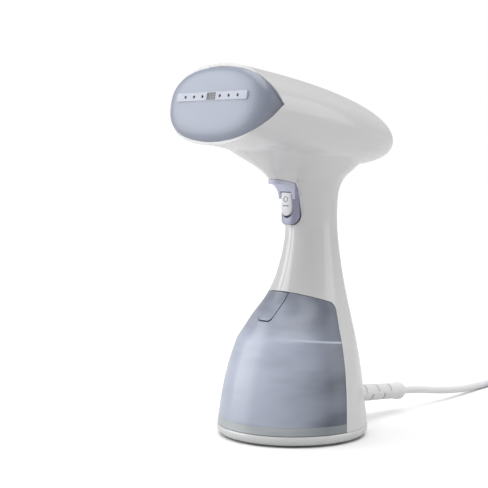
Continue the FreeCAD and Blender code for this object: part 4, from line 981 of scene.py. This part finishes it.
def makePlug(s):
    # a flat body that widens towards its pins, with a ribbed sleeve round the lead
    x, y, end = s["x"], s["y"], s["y"] - s["length"]
    shoulder = y - 0.55 * s["length"]
    outline = [(x - s["wide"], end), (x + s["wide"], end), (x + s["wide"], shoulder), (x + s["neck"], y),
               (x - s["neck"], y), (x - s["wide"], shoulder)]
    bm = prism(outline, s["low"], s["high"], Matrix())
    posts = [e for e in bm.edges if abs(e.verts[0].co.z - e.verts[1].co.z) > 5 and e.verts[0].co.y < y - 1]
    bmesh.ops.bevel(bm, geom=posts, offset=3.0, segments=6, affect="EDGES", profile=0.5, material=-1)
    rims = [e for e in bm.edges if abs(e.verts[0].co.z - e.verts[1].co.z) < 0.1]
    bmesh.ops.bevel(bm, geom=rims, offset=s["round"], segments=4, affect="EDGES", profile=0.5, material=-1)
    profile = [(0.01, -4), (5.0, -4), (5.0, 0.5)]
    for n in range(4):
        profile += [(4.7 - 0.2 * n, 1.2 + 2.6 * n), (4.7 - 0.2 * n, 2.6 + 2.6 * n), (4.0 - 0.15 * n, 2.8 + 2.6 * n),
                    (4.0 - 0.15 * n, 3.6 + 2.6 * n)]
    profile += [(3.2, 12.2), (0.01, 12.2)]
    middle = (s["low"] + s["high"]) / 2
    sleeve = spun(profile, Matrix.Translation((x, y, middle)) @ Matrix.Rotation(math.radians(-90), 4, "X"), 40)
    made = newObject(joined(bm, sleeve), "plugBody")
    return finishPiece(made, "handset", ["plug_body"], "plugWhite", 40)


def makeCord(s):
    curve = bpy.data.curves.new("powerCord", "CURVE")
    curve.dimensions = "3D"
    points = [*leadRoute, *coilPoints(coil, s["diameter"]), *plugRoute]
    spline = curve.splines.new("NURBS")
    spline.points.add(len(points) - 1)
    for spot, point in zip(spline.points, points):
        spot.co = (*point, 1)
    spline.order_u = 3
    spline.use_endpoint_u = True
    spline.resolution_u = 6
    curve.bevel_depth = s["diameter"] / 2
    curve.bevel_resolution = 5
    curve.use_fill_caps = True
    made = bpy.data.objects.new("powerCord", curve)
    bpy.context.scene.collection.objects.link(made)
    curve.materials.append(finishes["cordWhite"])
    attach(made, "handset")
    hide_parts("power_cord", "cord_coil")
    makePlug(plug)


makeCord(cord)
print("cord made")


# the CAD pieces that show as they are

nodeFinishes = {
    "footWhite": ["base_cover"], "softGrey": ["base_pad"],
    "siliconeMilk": ["heater_gasket", "panel_gasket", "filler_plug", "inlet_seal", "suction_hose", "pressure_hose"],
    "innerBlack": ["micro_switch", "board_parts", "pump_bracket", "cord_clamp", "heater_mounts"],
    "innerNylon": ["steam_duct", "switch_carrier", "tank_outlet", "tank_valve", "pump_plunger", "inlet_spigot"],
    "castMetal": ["heater_block", "heater_cover"],
    "zincSteel": ["body_screws", "base_screws", "foot_screws", "heater_screws", "board_screws", "clamp_screws",
                  "fuse_clip", "thermostat", "thermal_fuse", "latch_pin", "heating_element", "element_terminals"],
    "springSteel": ["button_spring", "latch_spring", "valve_spring", "pump_spring"],
    "brassPlain": ["pump_barrel"], "boardGreen": ["control_board"], "coilWrap": ["pump_coil"],
    "wireBrown": ["mains_wires"], "plugWhite": ["inner_lead"], "pinNickel": ["plug_pins"],
}


def dressNodes():
    for finish, nodes in nodeFinishes.items():
        for node in nodes:
            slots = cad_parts[node].data.materials
            slots.clear()
            slots.append(finishes[finish])


dressNodes()
bpy.data.objects.remove(outer)


# floor and light

studio = {"floor": (0.95, 0.95, 0.95), "bounce": (0.62, 0.62, 0.625), "horizon": 0.6, "zenith": 0.25}
lamps = {
    "key": {"place": (-1.1, -1.0, 0.6), "size": (1.2, 1.6), "power": 14},
    "side": {"place": (1.2, 0.9, 0.5), "size": (0.8, 1.2), "power": 3},
}
sky = {"power": 2.7, "spread": 70}


def makeStudio(s):
    bm = bmesh.new()
    bmesh.ops.create_grid(bm, x_segments=1, y_segments=1, size=6.0)
    floor = newObject(bm, "floor")
    f = Finish("floorPaper")
    seen = f.node("ShaderNodeLightPath", {}, output="Is Camera Ray")
    f.set(Base_Color=f.mix(seen, rgb(s["bounce"]), rgb(s["floor"])), Roughness=0.9)
    floor.data.materials.append(f.material)
    floor.location = (0, 0, -0.0001)
    world = bpy.data.worlds.new("world")
    world.use_nodes = True
    # the backdrop is plain white, and the light that it sheds fades towards the top
    w = Wiring(world.node_tree)
    up = w.parts(w.node("ShaderNodeTexCoord", {}, output="Generated"))[2]
    seen = w.node("ShaderNodeLightPath", {}, output="Is Camera Ray")
    shed = w.span(up, 0.1, 0.8, s["horizon"], s["zenith"])
    background = w.tree.nodes["Background"]
    background.inputs[0].default_value = (1, 1, 1, 1)
    w.feed(background.inputs[1], seen + (1 - seen) * shed)
    bpy.context.scene.world = world
    bpy.context.scene.view_settings.view_transform = "Standard"


def makeLamp(name, place, size, power):
    # a soft rectangle that faces the middle of the object
    data = bpy.data.lights.new(name, "AREA")
    data.shape = "RECTANGLE"
    data.size, data.size_y = size
    data.energy = power
    lamp = bpy.data.objects.new(name, data)
    lamp.location = place
    aim = Vector((0, 0, 0.15)) - Vector(place)
    lamp.rotation_euler = aim.to_track_quat("-Z", "Y").to_euler()
    bpy.context.scene.collection.objects.link(lamp)


def makeSky(s):
    # a wide soft light from straight above
    sun = bpy.data.lights.new("top", "SUN")
    sun.energy = s["power"]
    sun.angle = math.radians(s["spread"])
    bpy.context.scene.collection.objects.link(bpy.data.objects.new("top", sun))


makeStudio(studio)
for name, settings in lamps.items():
    makeLamp(name, **settings)
makeSky(sky)
print("studio made")
